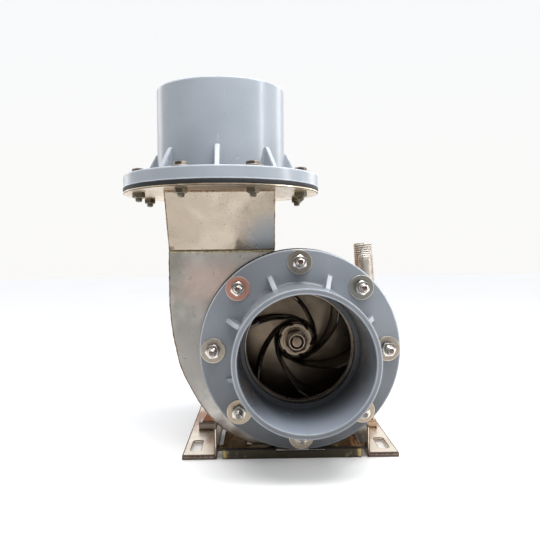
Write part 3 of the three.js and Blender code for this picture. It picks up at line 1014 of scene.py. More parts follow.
@dataclass(frozen=True)
class SteelSheet(Finish):
    """Rolled stainless sheet: drifting tone, rolling lines, brown cut edges and the sheet's own marks."""

    bright: Colour = (204, 196, 186)
    dull: Colour = (176, 168, 158)
    burnt: Colour = (92, 62, 40)  # the colour of its edges
    burn: float = 0.8  # how strong the edge colour is
    gloss: Range = (0.26, 0.44)  # its least and most roughness
    along: Triple = (14, 1, 1)  # the length of the rolling lines along X, Y and Z
    buckle: float = 0.5  # the depth of its soft waves
    marks: tuple[Mark, ...] = ()  # what else is on it

    def lay(self, board: Board) -> None:
        """Lays out the sheet.

        Args:
            board: the material's board.
        """
        drift = board.noise(48, 4.0, 0.55, 0.5)
        colour = board.mix(board.mask(drift, 0.36, 0.66), self.dull, self.bright)
        lines = board.noise(0.8, 3.0, 0.6, stretch=self.along)
        colour = board.mix(board.mask(lines, 0.35, 0.7, 0.22), colour, self.bright)
        cloud = board.mask(board.noise(19, 4.0, 0.6), 0.3, 0.7)
        coat = Coat(colour, board.between(cloud, *self.gloss), 1.0)
        for mark in self.marks:
            coat = mark.over(board, coat)
        ragged = board.maths("ADD", board.edge, board.between(board.noise(5, 4.0, 0.6), -0.55, 0.35))
        burnt = board.mask(ragged, 0.2, 0.75, self.burn)
        colour = board.mix(burnt, coat.colour, self.burnt)
        rough = board.between(burnt, coat.rough, 0.55)
        metal = board.less(coat.metal, burnt, 0.5)
        normal = board.bump((board.noise(55, 1.0), self.buckle), (lines, 0.008))
        board.dress(colour, rough, metal, normal)


@dataclass(frozen=True)
class CastMetal(Finish):
    """Cast metal with a grainy skin."""

    light: Colour = (112, 95, 80)
    dark: Colour = (70, 59, 50)
    rubbed_and_highlight: Colour = (150, 136, 120)  # the colour of its edges: wear, and on the vanes a painted highlight
    shine: float = 0.85  # its metallic share
    gloss: Range = (0.18, 0.3)  # its least and most roughness
    skin: float = 0.16  # how deep its grain is in millimetres

    def lay(self, board: Board) -> None:
        """Lays out the casting.

        Args:
            board: the material's board.
        """
        colour = board.mix(board.mask(board.noise(16, 5.0, 0.6), 0.36, 0.64), self.dark, self.light)
        pits = board.mask(board.cells(2.2), 0.2, 0.1)
        colour = board.mix(board.times(pits, 0.3), colour, self.dark)
        # Pale edges: wear, and on the vanes a painted highlight along their front edges.
        worn = board.times(board.edge, board.between(board.noise(6, 4.0), 0.2, 1.1))
        colour = board.mix(board.mask(worn, 0.2, 0.85, 0.8), colour, self.rubbed_and_highlight)
        rough = board.between(board.mask(board.noise(11, 4.0), 0.3, 0.7), *self.gloss)
        skin, grain = board.noise(3.2, 4.0, 0.6), board.noise(0.8)
        board.dress(colour, rough, self.shine, board.bump((skin, self.skin), (grain, self.skin / 5)))


@dataclass(frozen=True)
class TurnedSteel(Finish):
    """Bright steel with fine tool rings about the shaft axis."""

    bright: Colour = (196, 195, 192)
    stained: Colour = (146, 128, 108)  # the colour of its stains
    stain: float = 0.4  # how strong the stains are
    rings: float = 0.012  # the depth of the tool rings

    def lay(self, board: Board) -> None:
        """Lays out the steel.

        Args:
            board: the material's board.
        """
        rings = board.node("ShaderNodeCombineXYZ", {0: board.radius(), 1: board.axis("Y")})
        tool = board.node("ShaderNodeTexNoise", {"Vector": rings, "Scale": 1.7, "Detail": 2.0})
        stains = board.mask(board.noise(10, 5.0, 0.6), 0.42, 0.72, self.stain)
        colour = board.mix(stains, self.bright, self.stained)
        colour = board.mix(board.mask(board.edge, 0.3, 1.0, 0.35), colour, (226, 224, 220))
        rough = board.maths("ADD", board.between(stains, 0.2, 0.42), board.between(tool, -0.05, 0.07))
        board.dress(colour, rough, 1.0, board.bump((tool, self.rings), (board.noise(4), 0.02)))


@dataclass(frozen=True)
class FixingSteel(Finish):
    """Plain steel of washers, nuts and studs, a little stained, with bright corners."""

    low: Colour = (152, 143, 134)  # its colour on the lower bolts
    high: Colour = (146, 136, 128)  # its colour on the upper ones
    rim: Colour = (226, 222, 216)  # the colour of chamfers and thread crests, a painted highlight where they catch the light
    stained: Colour = (122, 98, 74)  # the colour of its stains
    stain: float = 0.3  # how strong the stains are
    gloss: Range = (0.2, 0.3)  # its least and most roughness
    marks: tuple[Mark, ...] = ()  # what else is on it

    def lay(self, board: Board) -> None:
        """Lays out the steel.

        Args:
            board: the material's board.
        """
        # Colour by height: on the washers the lower ones are tan, a painted reflection of the pale ground.
        height = board.mask(board.axis("Z"), -90.0, 60.0)
        colour = board.mix(height, self.low, self.high)
        stains = board.mask(board.noise(9, 3.0, 0.5), 0.48, 0.75, self.stain)
        colour = board.mix(stains, colour, self.stained)
        coat = Coat(colour, board.between(board.noise(12, 2.0), *self.gloss), 1.0)
        for mark in self.marks:
            coat = mark.over(board, coat)
        # Painted highlight: chamfers and thread crests are made pale.
        chamfer_highlight = board.times(board.edge, board.between(board.noise(4.0, 3.0), 0.6, 1.1))
        colour = board.mix(board.mask(chamfer_highlight, 0.25, 0.8, 0.9), coat.colour, self.rim)
        scratch = board.noise(0.6, 2.0, stretch=(1, 1, 9), twist=0.8)
        board.dress(colour, coat.rough, coat.metal, board.bump((board.noise(6.0), 0.012), (scratch, 0.002)))


@dataclass(frozen=True)
class WeldMetal(Finish):
    """Bead of a weld, straw and brown from the heat."""

    straw: Colour = (158, 138, 112)
    brown: Colour = (88, 66, 48)
    gloss: Range = (0.3, 0.55)  # its least and most roughness
    shine: float = 0.9  # its metallic share

    def lay(self, board: Board) -> None:
        """Lays out the weld.

        Args:
            board: the material's board.
        """
        heat = board.mask(board.noise(7, 4.0, 0.6), 0.35, 0.68)
        colour = board.mix(heat, self.straw, self.brown)
        blue = board.mask(board.noise(12, 2.0), 0.6, 0.72, 0.45)
        colour = board.mix(blue, colour, (96, 100, 116))
        rough = board.between(heat, *self.gloss)
        board.dress(colour, rough, self.shine, board.bump((board.noise(0.9, 3.0), 0.06)))


@dataclass(frozen=True)
class Enamel(Finish):
    """Satin enamel on cast iron, worn through at its edges."""

    paint: Colour = (52, 88, 126)
    faded: Colour = (74, 108, 142)  # its colour where it has faded
    iron: Colour = (92, 84, 76)  # what shows where it is gone

    def lay(self, board: Board) -> None:
        """Lays out the enamel.

        Args:
            board: the material's board.
        """
        colour = board.mix(board.mask(board.noise(40, 4.0), 0.38, 0.66), self.paint, self.faded)
        dust = board.mask(board.noise(13, 5.0, 0.65), 0.55, 0.78, 0.35)
        colour = board.mix(dust, colour, (134, 128, 116))
        ragged = board.maths("ADD", board.edge, board.between(board.noise(4, 5.0, 0.7), -0.8, 0.25))
        gone = board.mask(ragged, 0.42, 0.5)
        colour = board.mix(gone, colour, self.iron)
        rough = board.between(board.maths("MAXIMUM", dust, gone), 0.34, 0.62)
        normal = board.bump((board.noise(7, 4.0), 0.18), (board.noise(1.8, 2.0), 0.03))
        board.dress(colour, rough, board.times(gone, 0.7), normal)


PVC = MouldedPlastic("grey_plastic", "pvc")
# A shaded copy of the plastic: its darker base colours are painted shade, and it carries painted shade and
# light in and around its socket.
PVC_SUCTION = MouldedPlastic(
    "grey_plastic_suction", "pvc", (142, 147, 154), (134, 140, 147), foot=0.8, throat_shade=0.8
)
RUBBER = SheetRubber("sheet_rubber", "rubber")
# The sheets' warm and cream base colours are partly a painted reflection of warm surroundings on grey
# stainless, most on the flange plate and the rails.
CASING_FRONT = SteelSheet(
    "casing_front_sheet", "casing_steel", bright=(212, 206, 200), dull=(188, 182, 175),
    marks=(
        GrindingMarks((-208, 27, 40), (50, 40, 190), 26.0),
        # Painted reflection: the pinkish patch stands for the scene in front that the sheet mirrors.
        Patch((-150, 27, 110), (95, 40, 62), (214, 186, 172), 0.6, 0.3),
        Patch((-212, 27, 136), (22, 40, 50), (150, 150, 138), 0.6, 0.35),
        # Painted shade and reflection: the left side is greyer, and the foot is dark.
        Patch((-175, 27, -20), (90, 40, 150), (154, 150, 145), 0.9, 0.4),
        Patch((-140, 27, -160), (70, 40, 50), (80, 70, 60), 0.9, 0.4),
        Patch((-40, 27, -190), (210, 40, 75), (92, 82, 70), 0.8, 0.4),
        Specks(4.2, 0.35, (98, 72, 50)),
    ),
)
CASING_SHEET = SteelSheet(
    "casing_sheet", "casing_steel", along=(1, 14, 1),
    marks=(Specks(5.0, 0.3, (104, 78, 54)), Patch((127, 90, 92), (34, 34, 34), (104, 78, 58), 0.75)),
)
BACK_SHEET = SteelSheet(
    "casing_back_sheet", "casing_steel",
    marks=(
        GrindingMarks((-60, 153, 0), (210, 40, 230)),
        Patch((0, 153, 0), (86, 40, 86), (128, 98, 74), 0.6),
        Specks(5.0, 0.3, (104, 78, 54)),
    ),
)
FLANGE_SHEET = SteelSheet(
    "flange_plate", "casing_steel", bright=(244, 228, 204), dull=(230, 212, 186), burnt=(46, 34, 28),
    burn=1.0, marks=(
        # Painted reflection: the front of the underside is darker, for the darker ground near the pump that
        # it mirrors.
        Patch((-133, -70, 268), (112, 56, 30), (124, 108, 92), 0.85, 0.4),
        Patch((-262, 0, 268), (60, 140, 30), (200, 184, 160), 0.9, 0.4),
        Specks(5.5, 0.4, (120, 84, 52)),
    ),
)
DUCT_FRONT = SteelSheet(
    "duct_front_sheet", "duct_steel", bright=(178, 166, 151), dull=(162, 151, 136), burnt=(96, 62, 42),
    gloss=(0.08, 0.15), along=(1, 1, 14), buckle=0.6,
    marks=(
        Patch((-220, 25, 173), (9, 12, 6), (84, 52, 38), 0.9, 0.6),
        # Painted reflections: a dark band at the lower right, a paler, less metallic right part for the lit
        # suction stub, and a bluish patch for the suction flange.
        Patch((-52, 25, 172), (34, 14, 6), (110, 98, 88), 0.7, 0.3),
        Patch((-60, 4, 214), (70, 60, 78), (206, 191, 172), 0.95, 0.3, 0.6),
        Patch((-40, 14, 190), (60, 60, 54), (172, 182, 192), 0.85, 0.3),
        # Painted reflection: the left part is darker.
        Patch((-215, 4, 225), (44, 60, 90), (156, 142, 126), 0.6, 0.14),
        Specks(3.4, 0.45, (122, 84, 54)),
    ),
)
DUCT_SHEET = SteelSheet(
    "duct_side_sheet", "duct_steel", bright=(206, 194, 176), dull=(176, 164, 146), gloss=(0.18, 0.34),
    along=(1, 1, 14), marks=(Specks(4.6, 0.4, (116, 82, 54)),),
)
RAIL_SHEET = SteelSheet(
    "rail_sheet", "base_steel", bright=(252, 240, 224), dull=(236, 222, 202), burnt=(74, 50, 34), burn=0.95,
    gloss=(0.28, 0.42), along=(1, 14, 1),
    marks=(
        Patch((-180, 255, -177), (60, 130, 40), (166, 118, 92), 0.9),
        Patch((147, 195, -177), (60, 60, 40), (186, 140, 110), 0.8),
        # Painted shade: the rails' inner edges and the lower front edges are darkened.
        Patch((-144, 90, -176), (9, 220, 20), (66, 48, 40), 0.9),
        Patch((114, 90, -176), (8, 220, 20), (74, 48, 40), 0.9),
        *(Patch((x, 0, -183), (90, 6, 7), (60, 45, 40), 0.9) for x in (-172, 144)),
        Specks(4.0, 0.4, (120, 86, 56)),
    ),
)
BASE_SHEET = SteelSheet(
    "base_sheet", "base_steel", bright=(206, 192, 170), dull=(176, 162, 142), burnt=(86, 58, 38), burn=0.9,
    marks=(
        Patch((0, 156, 0), (92, 60, 92), (120, 90, 70), 0.55),
        *(Patch((x, 153, -140), (52, 30, 60), (184, 122, 94), 0.85) for x in (-165, 135)),
        Specks(5.0, 0.4, (112, 80, 54)),
    ),
)
CHANNEL_SHEET = SteelSheet(
    "channel_sheet", "base_steel", bright=(250, 232, 196), dull=(222, 204, 170), burnt=(28, 24, 20), burn=0.9,
    gloss=(0.12, 0.24), marks=(
        # Painted shade: the front face is near black, for the dark ground that it mirrors, with painted
        # yellow highlights at its ends.
        Patch((-15, -1, -176), (420, 10, 60), (34, 34, 30), 0.95, 0.16),
        *(Patch((x, 4, -176), (10, 20, 14), (196, 172, 118), 0.8) for x in (-133, 103)),
        Specks(5.0, 0.4, (60, 48, 36)),
    ),
)
PAD_STEEL = SteelSheet(
    "pad_steel", "base_steel", bright=(206, 202, 194), dull=(178, 172, 164), burn=0.6, gloss=(0.3, 0.45),
    marks=(
        Patch((149, 160, -165), (60, 40, 40), (240, 208, 176), 0.9),
        Patch((-192, 160, -165), (14, 30, 20), (160, 116, 94), 0.9),
    ),
)
IMPELLER = CastMetal(
    "cast_wheel", "impeller_metal", (140, 124, 105), (128, 113, 96), (150, 134, 114), 0.74, (0.18, 0.23),
    0.006,
)
# The vanes are near black, partly their wet, dirty metal and partly painted shade; their pale front edges are
# partly a painted highlight.
VANE = CastMetal(
    "cast_vane", "impeller_metal", (50, 46, 42), (38, 36, 34), (138, 130, 118), 0.85, (0.14, 0.2), 0.01
)
TURNED = TurnedSteel("turned_bar", "turned_steel")
NIPPLE_STEEL = SteelSheet(
    "nipple_steel", "turned_steel", bright=(206, 200, 192), dull=(182, 174, 164), burnt=(222, 216, 208),
    burn=0.7, gloss=(0.42, 0.55), along=(1, 1, 14), buckle=0.05, marks=(
        Patch((107, 90, 140), (7, 40, 70), (168, 124, 94), 0.9),
        Patch((104, 90, 108), (30, 40, 14), (166, 118, 86), 0.8),
        # Painted shade: the right side is darker, where the side light makes it bright.
        Patch((142, 90, 150), (12, 60, 80), (140, 124, 110), 0.9),
    ),
)
# The lower washers' tan is a painted reflection of the pale ground.
WASHER = FixingSteel(
    "washer_steel", "turned_steel", (168, 154, 134), (158, 152, 144), (206, 198, 186), (116, 96, 82), 0.35,
    (0.3, 0.42),
    marks=(
        Patch((-104, -3, 104), (70, 40, 70), (206, 150, 134), 0.95, 0.4),
        Patch((104, -3, 104), (60, 40, 60), (140, 142, 134), 0.8, 0.4),
    ),
)
NUT = FixingSteel("nut_steel", "turned_steel")
STUD = FixingSteel("stud_steel", "turned_steel", (112, 106, 102), (122, 104, 96), (214, 208, 200))
DULL_NUT = FixingSteel(
    "dull_nut_steel", "turned_steel", (94, 88, 76), (94, 88, 76), (150, 144, 130), (66, 52, 40), 0.5,
    (0.35, 0.5),
)
HEAD = FixingSteel(
    "bolt_head_steel", "turned_steel", (124, 114, 104), (124, 114, 104), (186, 180, 172), (96, 68, 50), 0.7,
    (0.3, 0.45),
)
HUB_NUT = FixingSteel(
    "hub_nut_steel", "turned_steel", (120, 104, 90), (120, 104, 90), (206, 188, 168), (60, 50, 42), 0.5
)
WELD = WeldMetal("weld_bead", "casing_steel")
BASE_WELD = WeldMetal("base_weld_bead", "base_steel")
SEAM = WeldMetal("seam_bead", "duct_steel", (194, 186, 150), (150, 137, 106), (0.4, 0.6), 0.45)
FRAME_PAINT = Enamel("stand_enamel", "bearing_paint")
PULLEY_IRON = CastMetal(
    "cast_pulley", "pulley_iron", (112, 114, 116), (84, 86, 88), (178, 178, 176), 0.85, (0.34, 0.5)
)


# Sub-assemblies


@dataclass(frozen=True)
class PipeFlange:
    """A moulded pipe flange: its disc, a socket stub with a stop for the pipe, and ribs.

    The mating face is at Z = 0 and the stub points up.
    """

    name: str
    node: str
    place: Matrix
    finish: Finish
    first_rib: float = 0.0
    radius: float = 170.0
    thickness: float = 21.0
    stub_outer: float = 111.2
    stub_inner: float = 102.2
    stub_length: float = 149.0
    stop_radius: float = 95.0
    stop_depth: float = 12.0
    rib_count: int = 8
    rib_half: float = 4.0
    rib_reach: float = 134.0
    rib_height: float = 41.0
    rib_step: float = 4.0
    rib_nose: float = 1.6
    rib_flare: float = 3.0
    fillet: float = 5.0

    def build(self) -> None:
        """Builds the moulding."""
        draft = Draft(self.name, self.finish)
        top = self.thickness + self.stub_length
        corner = (self.stub_outer + self.fillet, self.thickness + self.fillet)
        section = Outline((
            (self.stop_radius, 0.0), (self.radius, 0.0), (self.radius, self.thickness),
            *arc(corner, self.fillet, 270, 180, 8), (self.stub_outer, top), (self.stub_inner, top),
            (self.stub_inner, self.stop_depth), (self.stop_radius, self.stop_depth),
        ), radius=1.7, steps=4, guard=2.5)
        draft.turned(section, self.place, 160)
        for i in range(self.rib_count):
            self._rib(draft, self.place @ turned_to(self.first_rib + i * 360 / self.rib_count))
        draft.done(self.node)

    def _rib(self, draft: Draft, place: Matrix) -> None:
        """Adds one rib, which flares where it meets the disc and the stub.

        Args:
            draft: the moulding.
            place: the flange's place, turned to the rib.
        """
        foot, half, reach, flare = self.thickness, self.rib_half, self.rib_reach, self.rib_flare
        levels = []
        for share in (0.0, 0.1, 0.3, 0.6, 1.0):
            gap = flare * (1 - math.sqrt(1 - (1 - share) ** 2))
            levels.append((foot + flare * share - 0.2, half + gap, reach + gap, 0.0))
        tip = self.stub_outer + 3.0
        slope = (reach - tip) / (self.rib_height - self.rib_step)
        for share in (0.0, 0.05, 0.5, 0.92):
            rise = (self.rib_height - self.rib_step) * share
            levels.append((foot + self.rib_step + rise, half, reach - slope * rise, 1.0))
        for drop, inset in ((1.0, 0.3), (0.3, 1.0), (0.0, 2.0)):
            levels.append((foot + self.rib_height - drop, half - inset, tip - inset, 1.0))
        rows, marks = [], []
        for *level, worn in levels:
            row = self._rib_row(*level)
            rows.append(row)
            marks.append([worn if 3 <= i < len(row) - 3 else 0.0 for i in range(len(row))])
        draft.loft(rows, marks, 0, place, lids=True)

    def _rib_row(self, height: float, half: float, reach: float) -> list[Triple]:
        """Gives one level line round a rib.

        Args:
            height: its height over the mating face.
            half: half of the rib's thickness there.
            reach: how far out the rib goes.

        Returns:
            The points from one side round the nose to the other.
        """
        nose, root = self.rib_nose, self.stub_outer
        end = reach - nose
        side = [(root - 2.5, half + 2.4), (root + 0.6, half + 1.1), (root + 2.6, half)]
        side = [*((min(r, end), w) for r, w in side), (end, half)]
        for angle in (30, 60, 90):
            turn = math.radians(angle)
            side.append((end + nose * math.sin(turn), half - nose * (1 - math.cos(turn))))
        around = side + [(r, -w) for r, w in reversed(side)]
        return [(r, w, height) for r, w in around]


@dataclass(frozen=True)
class Gasket:
    """A rubber ring that was cut by hand and is pressed out a little."""

    name: str
    node: str
    place: Matrix
    inner: float = 96.0
    outer: float = 170.7
    gap: float = 0.05
    thickness: float = 5.9

    def build(self) -> None:
        """Builds the ring."""
        draft = Draft(self.name, RUBBER)
        section = box_outline(self.inner, self.gap, self.outer, self.thickness, 1.3)
        draft.turned(section, self.place, 200, self._uneven)
        draft.done(self.node)

    def _uneven(self, point: Vector) -> Vector:
        """Moves a point of the outer edge in or out.

        Args:
            point: a point of the ring.

        Returns:
            Where it goes.
        """
        if point.xy.length < self.outer - 8:
            return point
        push = 0.4 * noise.noise(point * 0.035) + 0.18 * noise.noise(point * 0.21)
        return point + Vector((point.x, point.y, 0.0)).normalized() * push


class Fastening(Enum):
    """How a flange's bolts look from the flange's front."""

    STUD_AND_NUT = "a nut on a long stud end"
    HEADED_BOLT = "a bolt head in front, a nut and a stud end behind"


@dataclass(frozen=True)
class FlangeFasteners:
    """The ring of bolts of one flange. The front face is at Z = 0, and what they clamp is below it."""

    name: str
    place: Matrix  # the flange's front face
    kind: Fastening  # how the bolts look
    first: float  # the angle of the first bolt in degrees
    grip: float  # how thick the clamped parts are
    bolt: float  # the radius of a bolt
    flats: float  # a nut's width across flats
    washer: float  # a washer's radius
    circle: float = 147.5
    count: int = 8
    gap: float = 0.1
    washer_height: float = 2.7

    def build(self) -> None:
        """Builds the bolts of the whole ring."""
        studs = self.kind is Fastening.STUD_AND_NUT
        draft = Draft(self.name, *((WASHER, NUT, STUD) if studs else (HEAD, HEAD, DULL_NUT)))
        seat = self.gap + self.washer_height
        washer = box_outline(self.bolt + 0.4, self.gap, self.washer, seat, 0.7)
        bore = self.bolt - 0.6
        for i in range(self.count):
            spot = self.place @ turned_to(self.first + i * 360 / self.count, self.circle)
            spin = Matrix.Rotation(1.9 * noise.noise(Vector((i * 2.7, self.first, 4.1))), 4, "Z")
            lean = Matrix.Rotation(0.02 * noise.noise(Vector((i * 3.1, 7.7, 1.0))), 4, "X")
            spot = spot @ moved(0.6 * noise.noise(Vector((i, 1.5, 2.5)))) @ spin @ lean
            draft.turned(washer, spot, 56)
            if studs:
                draft.hexagon(self.flats, 12.0, spot @ moved(z=seat), bore, finish=1)
                end = spot @ moved(z=seat + 0.2)
                draft.thread(self.bolt, pitch=2.0, length=32.0, place=end, finish=2, dome=2.8)
            else:
                draft.hexagon(self.flats, 7.0, spot @ moved(z=seat), finish=1)
                under = spot @ moved(z=-self.grip - self.gap) @ Matrix.Rotation(math.pi, 4, "X")
                draft.hexagon(self.flats, 9.5, under, bore, finish=2)
                length = 15.5 + 1.5 * noise.noise(Vector((i, 0.3, 9.0)))
                draft.thread(self.bolt, pitch=1.75, length=length, place=under, finish=2)
        draft.done()


@dataclass(frozen=True)
class Scroll:
    """The volute's outline in X and Z. Angles run clockwise from the top, seen from the front."""

    base: float = 150.0
    growth: float = 62.0
    tongue: float = -17.0
    left: float = -222.5
    right: float = -41.0
    bulge: float = 84.0
    waist: float = 0.43
    pull: float = 1.5
    pressed: float = 3.5

    def radius(self, angle: float) -> float:
        """Gives the wall's outer radius, pressed in a little at the lower left.

        Args:
            angle: the angle in degrees.

        Returns:
            The radius.
        """
        along = min(max((angle - 225) / 45, 0.0), 1.0)
        flat = self.pressed * math.sin(math.pi * along) ** 2
        return self.base + self.growth * (max(angle, 0.0) / 270) ** 2 - flat

    def line(self, first: float, inset: float = 0.0, step: float = 3.0) -> list[Point]:
        """Gives the wall from an angle clockwise to the left, then up to where it stands straight.

        Args:
            first: the first angle in degrees.
            inset: how far inside the wall the line runs.
            step: the angle from point to point.

        Returns:
            The points in X and Z.
        """
        count = math.ceil((270 - first) / step)
        points = []
        for i in range(count + 1):
            angle = first + (270 - first) * i / count
            turn, reach = math.radians(angle), self.radius(angle) - inset
            points.append((reach * math.sin(turn), reach * math.cos(turn)))
        start, end = Vector(points[-1]), Vector((self.left + inset, self.bulge))
        bend = Vector((self.left + self.pull + inset, self.bulge * self.waist))
        for t in (i / 8 for i in range(1, 9)):
            points.append(tuple(start.lerp(bend, t).lerp(bend.lerp(end, t), t)))
        return points

    def start(self) -> float:
        """Gives the angle where the wall meets the duct's right side."""
        return math.degrees(math.asin(self.right / self.base))

    def plate(self, top: float) -> Outline:
        """Gives the outline of a side plate that ends at a height."""
        return Outline(((self.left, top), *reversed(self.line(self.start())), (self.right, top)))


SCROLL = Scroll()
SHEET_RIM = Rim(0.4, 2.6)
DUCT_TOP = 266.7


@dataclass(frozen=True)
class Casing:
    """The volute: two side plates, the wall between them, the eye's ring and their welds."""

    front: float = FRONT_Y
    back: float = 153.0
    sheet: float = 3.0
    seam: float = 169.0
    eye: float = 92.0
    collar: float = 15.0

    def build(self) -> None:
        """Builds the casing."""
        inner, eye = self.front + self.sheet, self.eye + self.sheet
        draft = Draft("volute_front_sheet", CASING_FRONT)
        holes = [hole(circle(eye + 0.2))]
        draft.plate(Drawn.FRONT, SCROLL.plate(self.seam), self.front, inner, holes, SHEET_RIM)
        draft.done("volute_front_plate")
        draft = Draft("volute_back_sheet", BACK_SHEET)
        outline = SCROLL.plate(DUCT_TOP)
        draft.plate(Drawn.FRONT, outline, self.back - self.sheet, self.back, [SHAFT_HOLE], SHEET_RIM)
        draft.done("volute_back_plate")
        self._wall()
        draft = Draft("suction_eye_collar", CASING_SHEET)
        draft.turned(box_outline(self.eye, self.front, eye, self.front + self.collar, 0.8), TO_BACK, 120)
        draft.done("suction_eye_ring")
        self._welds()

    def _wall(self) -> None:
        """Builds the scroll wall as one bent strip."""
        outer = [*SCROLL.line(SCROLL.tongue, 0.4), (SCROLL.left + 0.4, self.seam)]
        inner = [*SCROLL.line(SCROLL.tongue, self.sheet), (SCROLL.left + self.sheet, self.seam)]
        strip = [*outer, *reversed(inner)]
        low, high = self.front + self.sheet + 0.05, self.back - self.sheet - 0.05
        rows = [[(x, y, z) for x, z in strip] for y in (low, low + 0.4, high - 0.4, high)]
        draft = Draft("scroll_strip", CASING_SHEET)
        made = draft.loft(rows, [[mark] * len(strip) for mark in (0.5, 0.0, 0.0, 0.5)])
        for verts in (made[0], made[-1]):
            for i in range(len(outer) - 1):
                draft.face((verts[i], verts[i + 1], verts[-2 - i], verts[-1 - i]))
        draft.done("scroll_wall")

    def _welds(self) -> None:
        """Lays the beads along both edges of the wall."""
        draft = Draft("casing_weld_beads", WELD)
        line = [*SCROLL.line(SCROLL.start(), -0.1), (SCROLL.left - 0.1, self.seam - 2)]
        for depth in (self.front + self.sheet + 0.2, self.back - self.sheet - 0.2):
            draft.bead([(x, depth, z) for x, z in line], 3.0)
        draft.done()


@dataclass(frozen=True)
class Duct:
    """The flared duct from the scroll up to the steel flange."""

    front: float = FRONT_Y
    flare: float = -27.0
    back: float = 149.8
    low: float = 169.6
    high: float = DUCT_TOP
    sheet: float = 3.0
    behind: float = 3.8
    tongue: float = 144.9

    def build(self) -> None:
        """Builds the three sheets and their seams."""
        left, right = SCROLL.left, SCROLL.right
        rise = Vector((self.flare - self.front, self.high - self.low))
        angle = math.atan2(-rise.x, rise.y)
        place = moved(y=self.front, z=self.low) @ Matrix.Rotation(angle, 4, "X")
        sheet = box_outline(left, 0.0, right, rise.length - 1.6)
        draft = Draft("duct_front_sheet", DUCT_FRONT)
        draft.plate(Drawn.FRONT, sheet, 0.0, self.sheet - 0.1, rim=SHEET_RIM, place=place)
        draft.done("duct_front_panel")
        foot = (self.front + self.behind, self.low)
        top = ((self.back, self.high), (self.flare + self.behind, self.high))
        over_scroll = (foot, (self.back, self.low), *top)
        down_to_tongue = ((foot[0], self.tongue), (self.back, self.tongue), *top, foot)
        for side, near, line in (("left", left, over_scroll), ("right", right - self.sheet, down_to_tongue)):
            draft = Draft(f"duct_{side}_sheet", DUCT_SHEET)
            draft.plate(Drawn.SIDE, Outline(line), near, near + self.sheet, rim=SHEET_RIM)
            draft.done(f"duct_{side}_panel")
        self._seams()

    def _seams(self) -> None:
        """Lays the olive bead over the scroll and the thin welds on the duct's corners."""
        left, right = SCROLL.left, SCROLL.right
        draft = Draft("duct_seam_bead", SEAM)
        low = self.low - 2.4
        draft.bead([(left + 1, self.front + 0.7, low), (right - 1, self.front + 0.7, low)], 4.6, ripple=3.4)
        draft.bead([(left + 0.6, self.front + 2, low), (left + 0.6, self.back, low)], 4.0, ripple=3.4)
        draft.bead([(right - 1.2, 30, self.tongue), (right - 1.2, self.back, self.tongue)], 4.4, ripple=3.4)
        draft.done()
        draft = Draft("duct_corner_welds", WELD)
        top = self.high - 1.4
        for side in (left + 0.6, right - 0.6):
            draft.bead([(side, self.front + 1.4, self.low), (side, self.flare + 1.4, top)], 2.6)
            draft.bead([(side, self.flare + 1, top + 1), (side, self.back, top + 1)], 3.0)
        draft.bead([(left, self.flare + 0.6, top + 0.8), (right, self.flare + 0.6, top + 0.8)], 2.8)
        draft.bead([(left, self.back + 3.4, top + 1), (right, self.back + 3.4, top + 1)], 3.0)
        draft.done()


@dataclass(frozen=True)
class SteelFlange:
    """The flat steel ring on top of the duct."""

    radius: float = 170.0
    bore: float = 85.0
    low: float = 267.0
    high: float = 270.7

    def build(self) -> None:
        """Builds the ring."""
        draft = Draft("discharge_flange_plate", FLANGE_SHEET)
        outline, holes = circle(self.radius, 160), [hole(circle(self.bore))]
        draft.plate(Drawn.FLOOR, outline, self.low, self.high, holes, Rim(0.5, 1.2), moved(*OUTLET))
        draft.done("discharge_steel_flange")


@dataclass(frozen=True)
class Nipple:
    """The threaded filling pipe, which leans a little, with its weld on the scroll."""

    foot: Vector = Vector((127.0, 90.0, 92.0))
    top: Vector = Vector((121.5, 90.0, 180.5))
    below: float = -7.0
    plain: float = 16.6
    outer: float = 17.2
    bore: float = 13.5
    pitch: float = 3.9
    threaded: float = 32.0
    fade: float = 20.0
    count: int = 40

    def build(self) -> None:
        """Builds the pipe."""
        axis = self.top - self.foot
        length = axis.length
        place = Matrix.Translation(self.foot) @ axis.to_track_quat("Z", "Y").to_matrix().to_4x4()
        draft = Draft("priming_pipe", NIPPLE_STEEL)
        start = length - self.threaded
        rows = [ring_row(self.outer - 0.9, self.count, self.below), ring_row(self.plain, self.count, start)]
        marks = [[0.0] * self.count, [0.3] * self.count]
        for row, worn in zip(*screw(self.outer, self.pitch, self.threaded - 1.0, self.count, 1.2)):
            gone = row[0][2] / self.fade  # how far the plain pipe has turned into the thread
            grown = [1 + (self.plain / math.hypot(x, y) - 1) * max(0.0, 1 - gone) for x, y, _ in row]
            rows.append([(x * g, y * g, z + start) for (x, y, z), g in zip(row, grown)])
            marks.append([mark * min(1.0, gone) for mark in worn])
        for radius, height, mark in (
            (self.outer - 2.0, length, 0.9),
            (self.bore + 0.5, length, 0.9),
            (self.bore, length - 0.6, 0.6),
            (self.bore, self.below, 0.0),
        ):
            rows.append(ring_row(radius, self.count, height))
            marks.append([mark] * self.count)
        draft.loft(rows, marks, 0, place, wrap=True)
        draft.done("priming_nipple")
        draft = Draft("nipple_weld", WELD)
        draft.bead(self._joint(place), 5.4, closed=True)
        draft.done()

    def _joint(self, place: Matrix) -> list[Vector]:
        """Finds the line where the pipe meets the scroll.

        Args:
            place: the pipe's place.

        Returns:
            The points of the closed line.
        """
        points = []
        for side in (Vector(p) for p in ring_row(1.0, 28, 0.0)):
            side *= self.outer + 0.3
            low, high = -40.0, 60.0
            for _ in range(18):
                middle = (low + high) / 2
                spot = place @ (side + Vector((0, 0, middle)))
                wall = SCROLL.radius(math.degrees(math.atan2(spot.x, spot.z)))
                low, high = (low, middle) if math.hypot(spot.x, spot.z) > wall else (middle, high)
            points.append(place @ (side + Vector((0, 0, low + 0.6))))
        return points


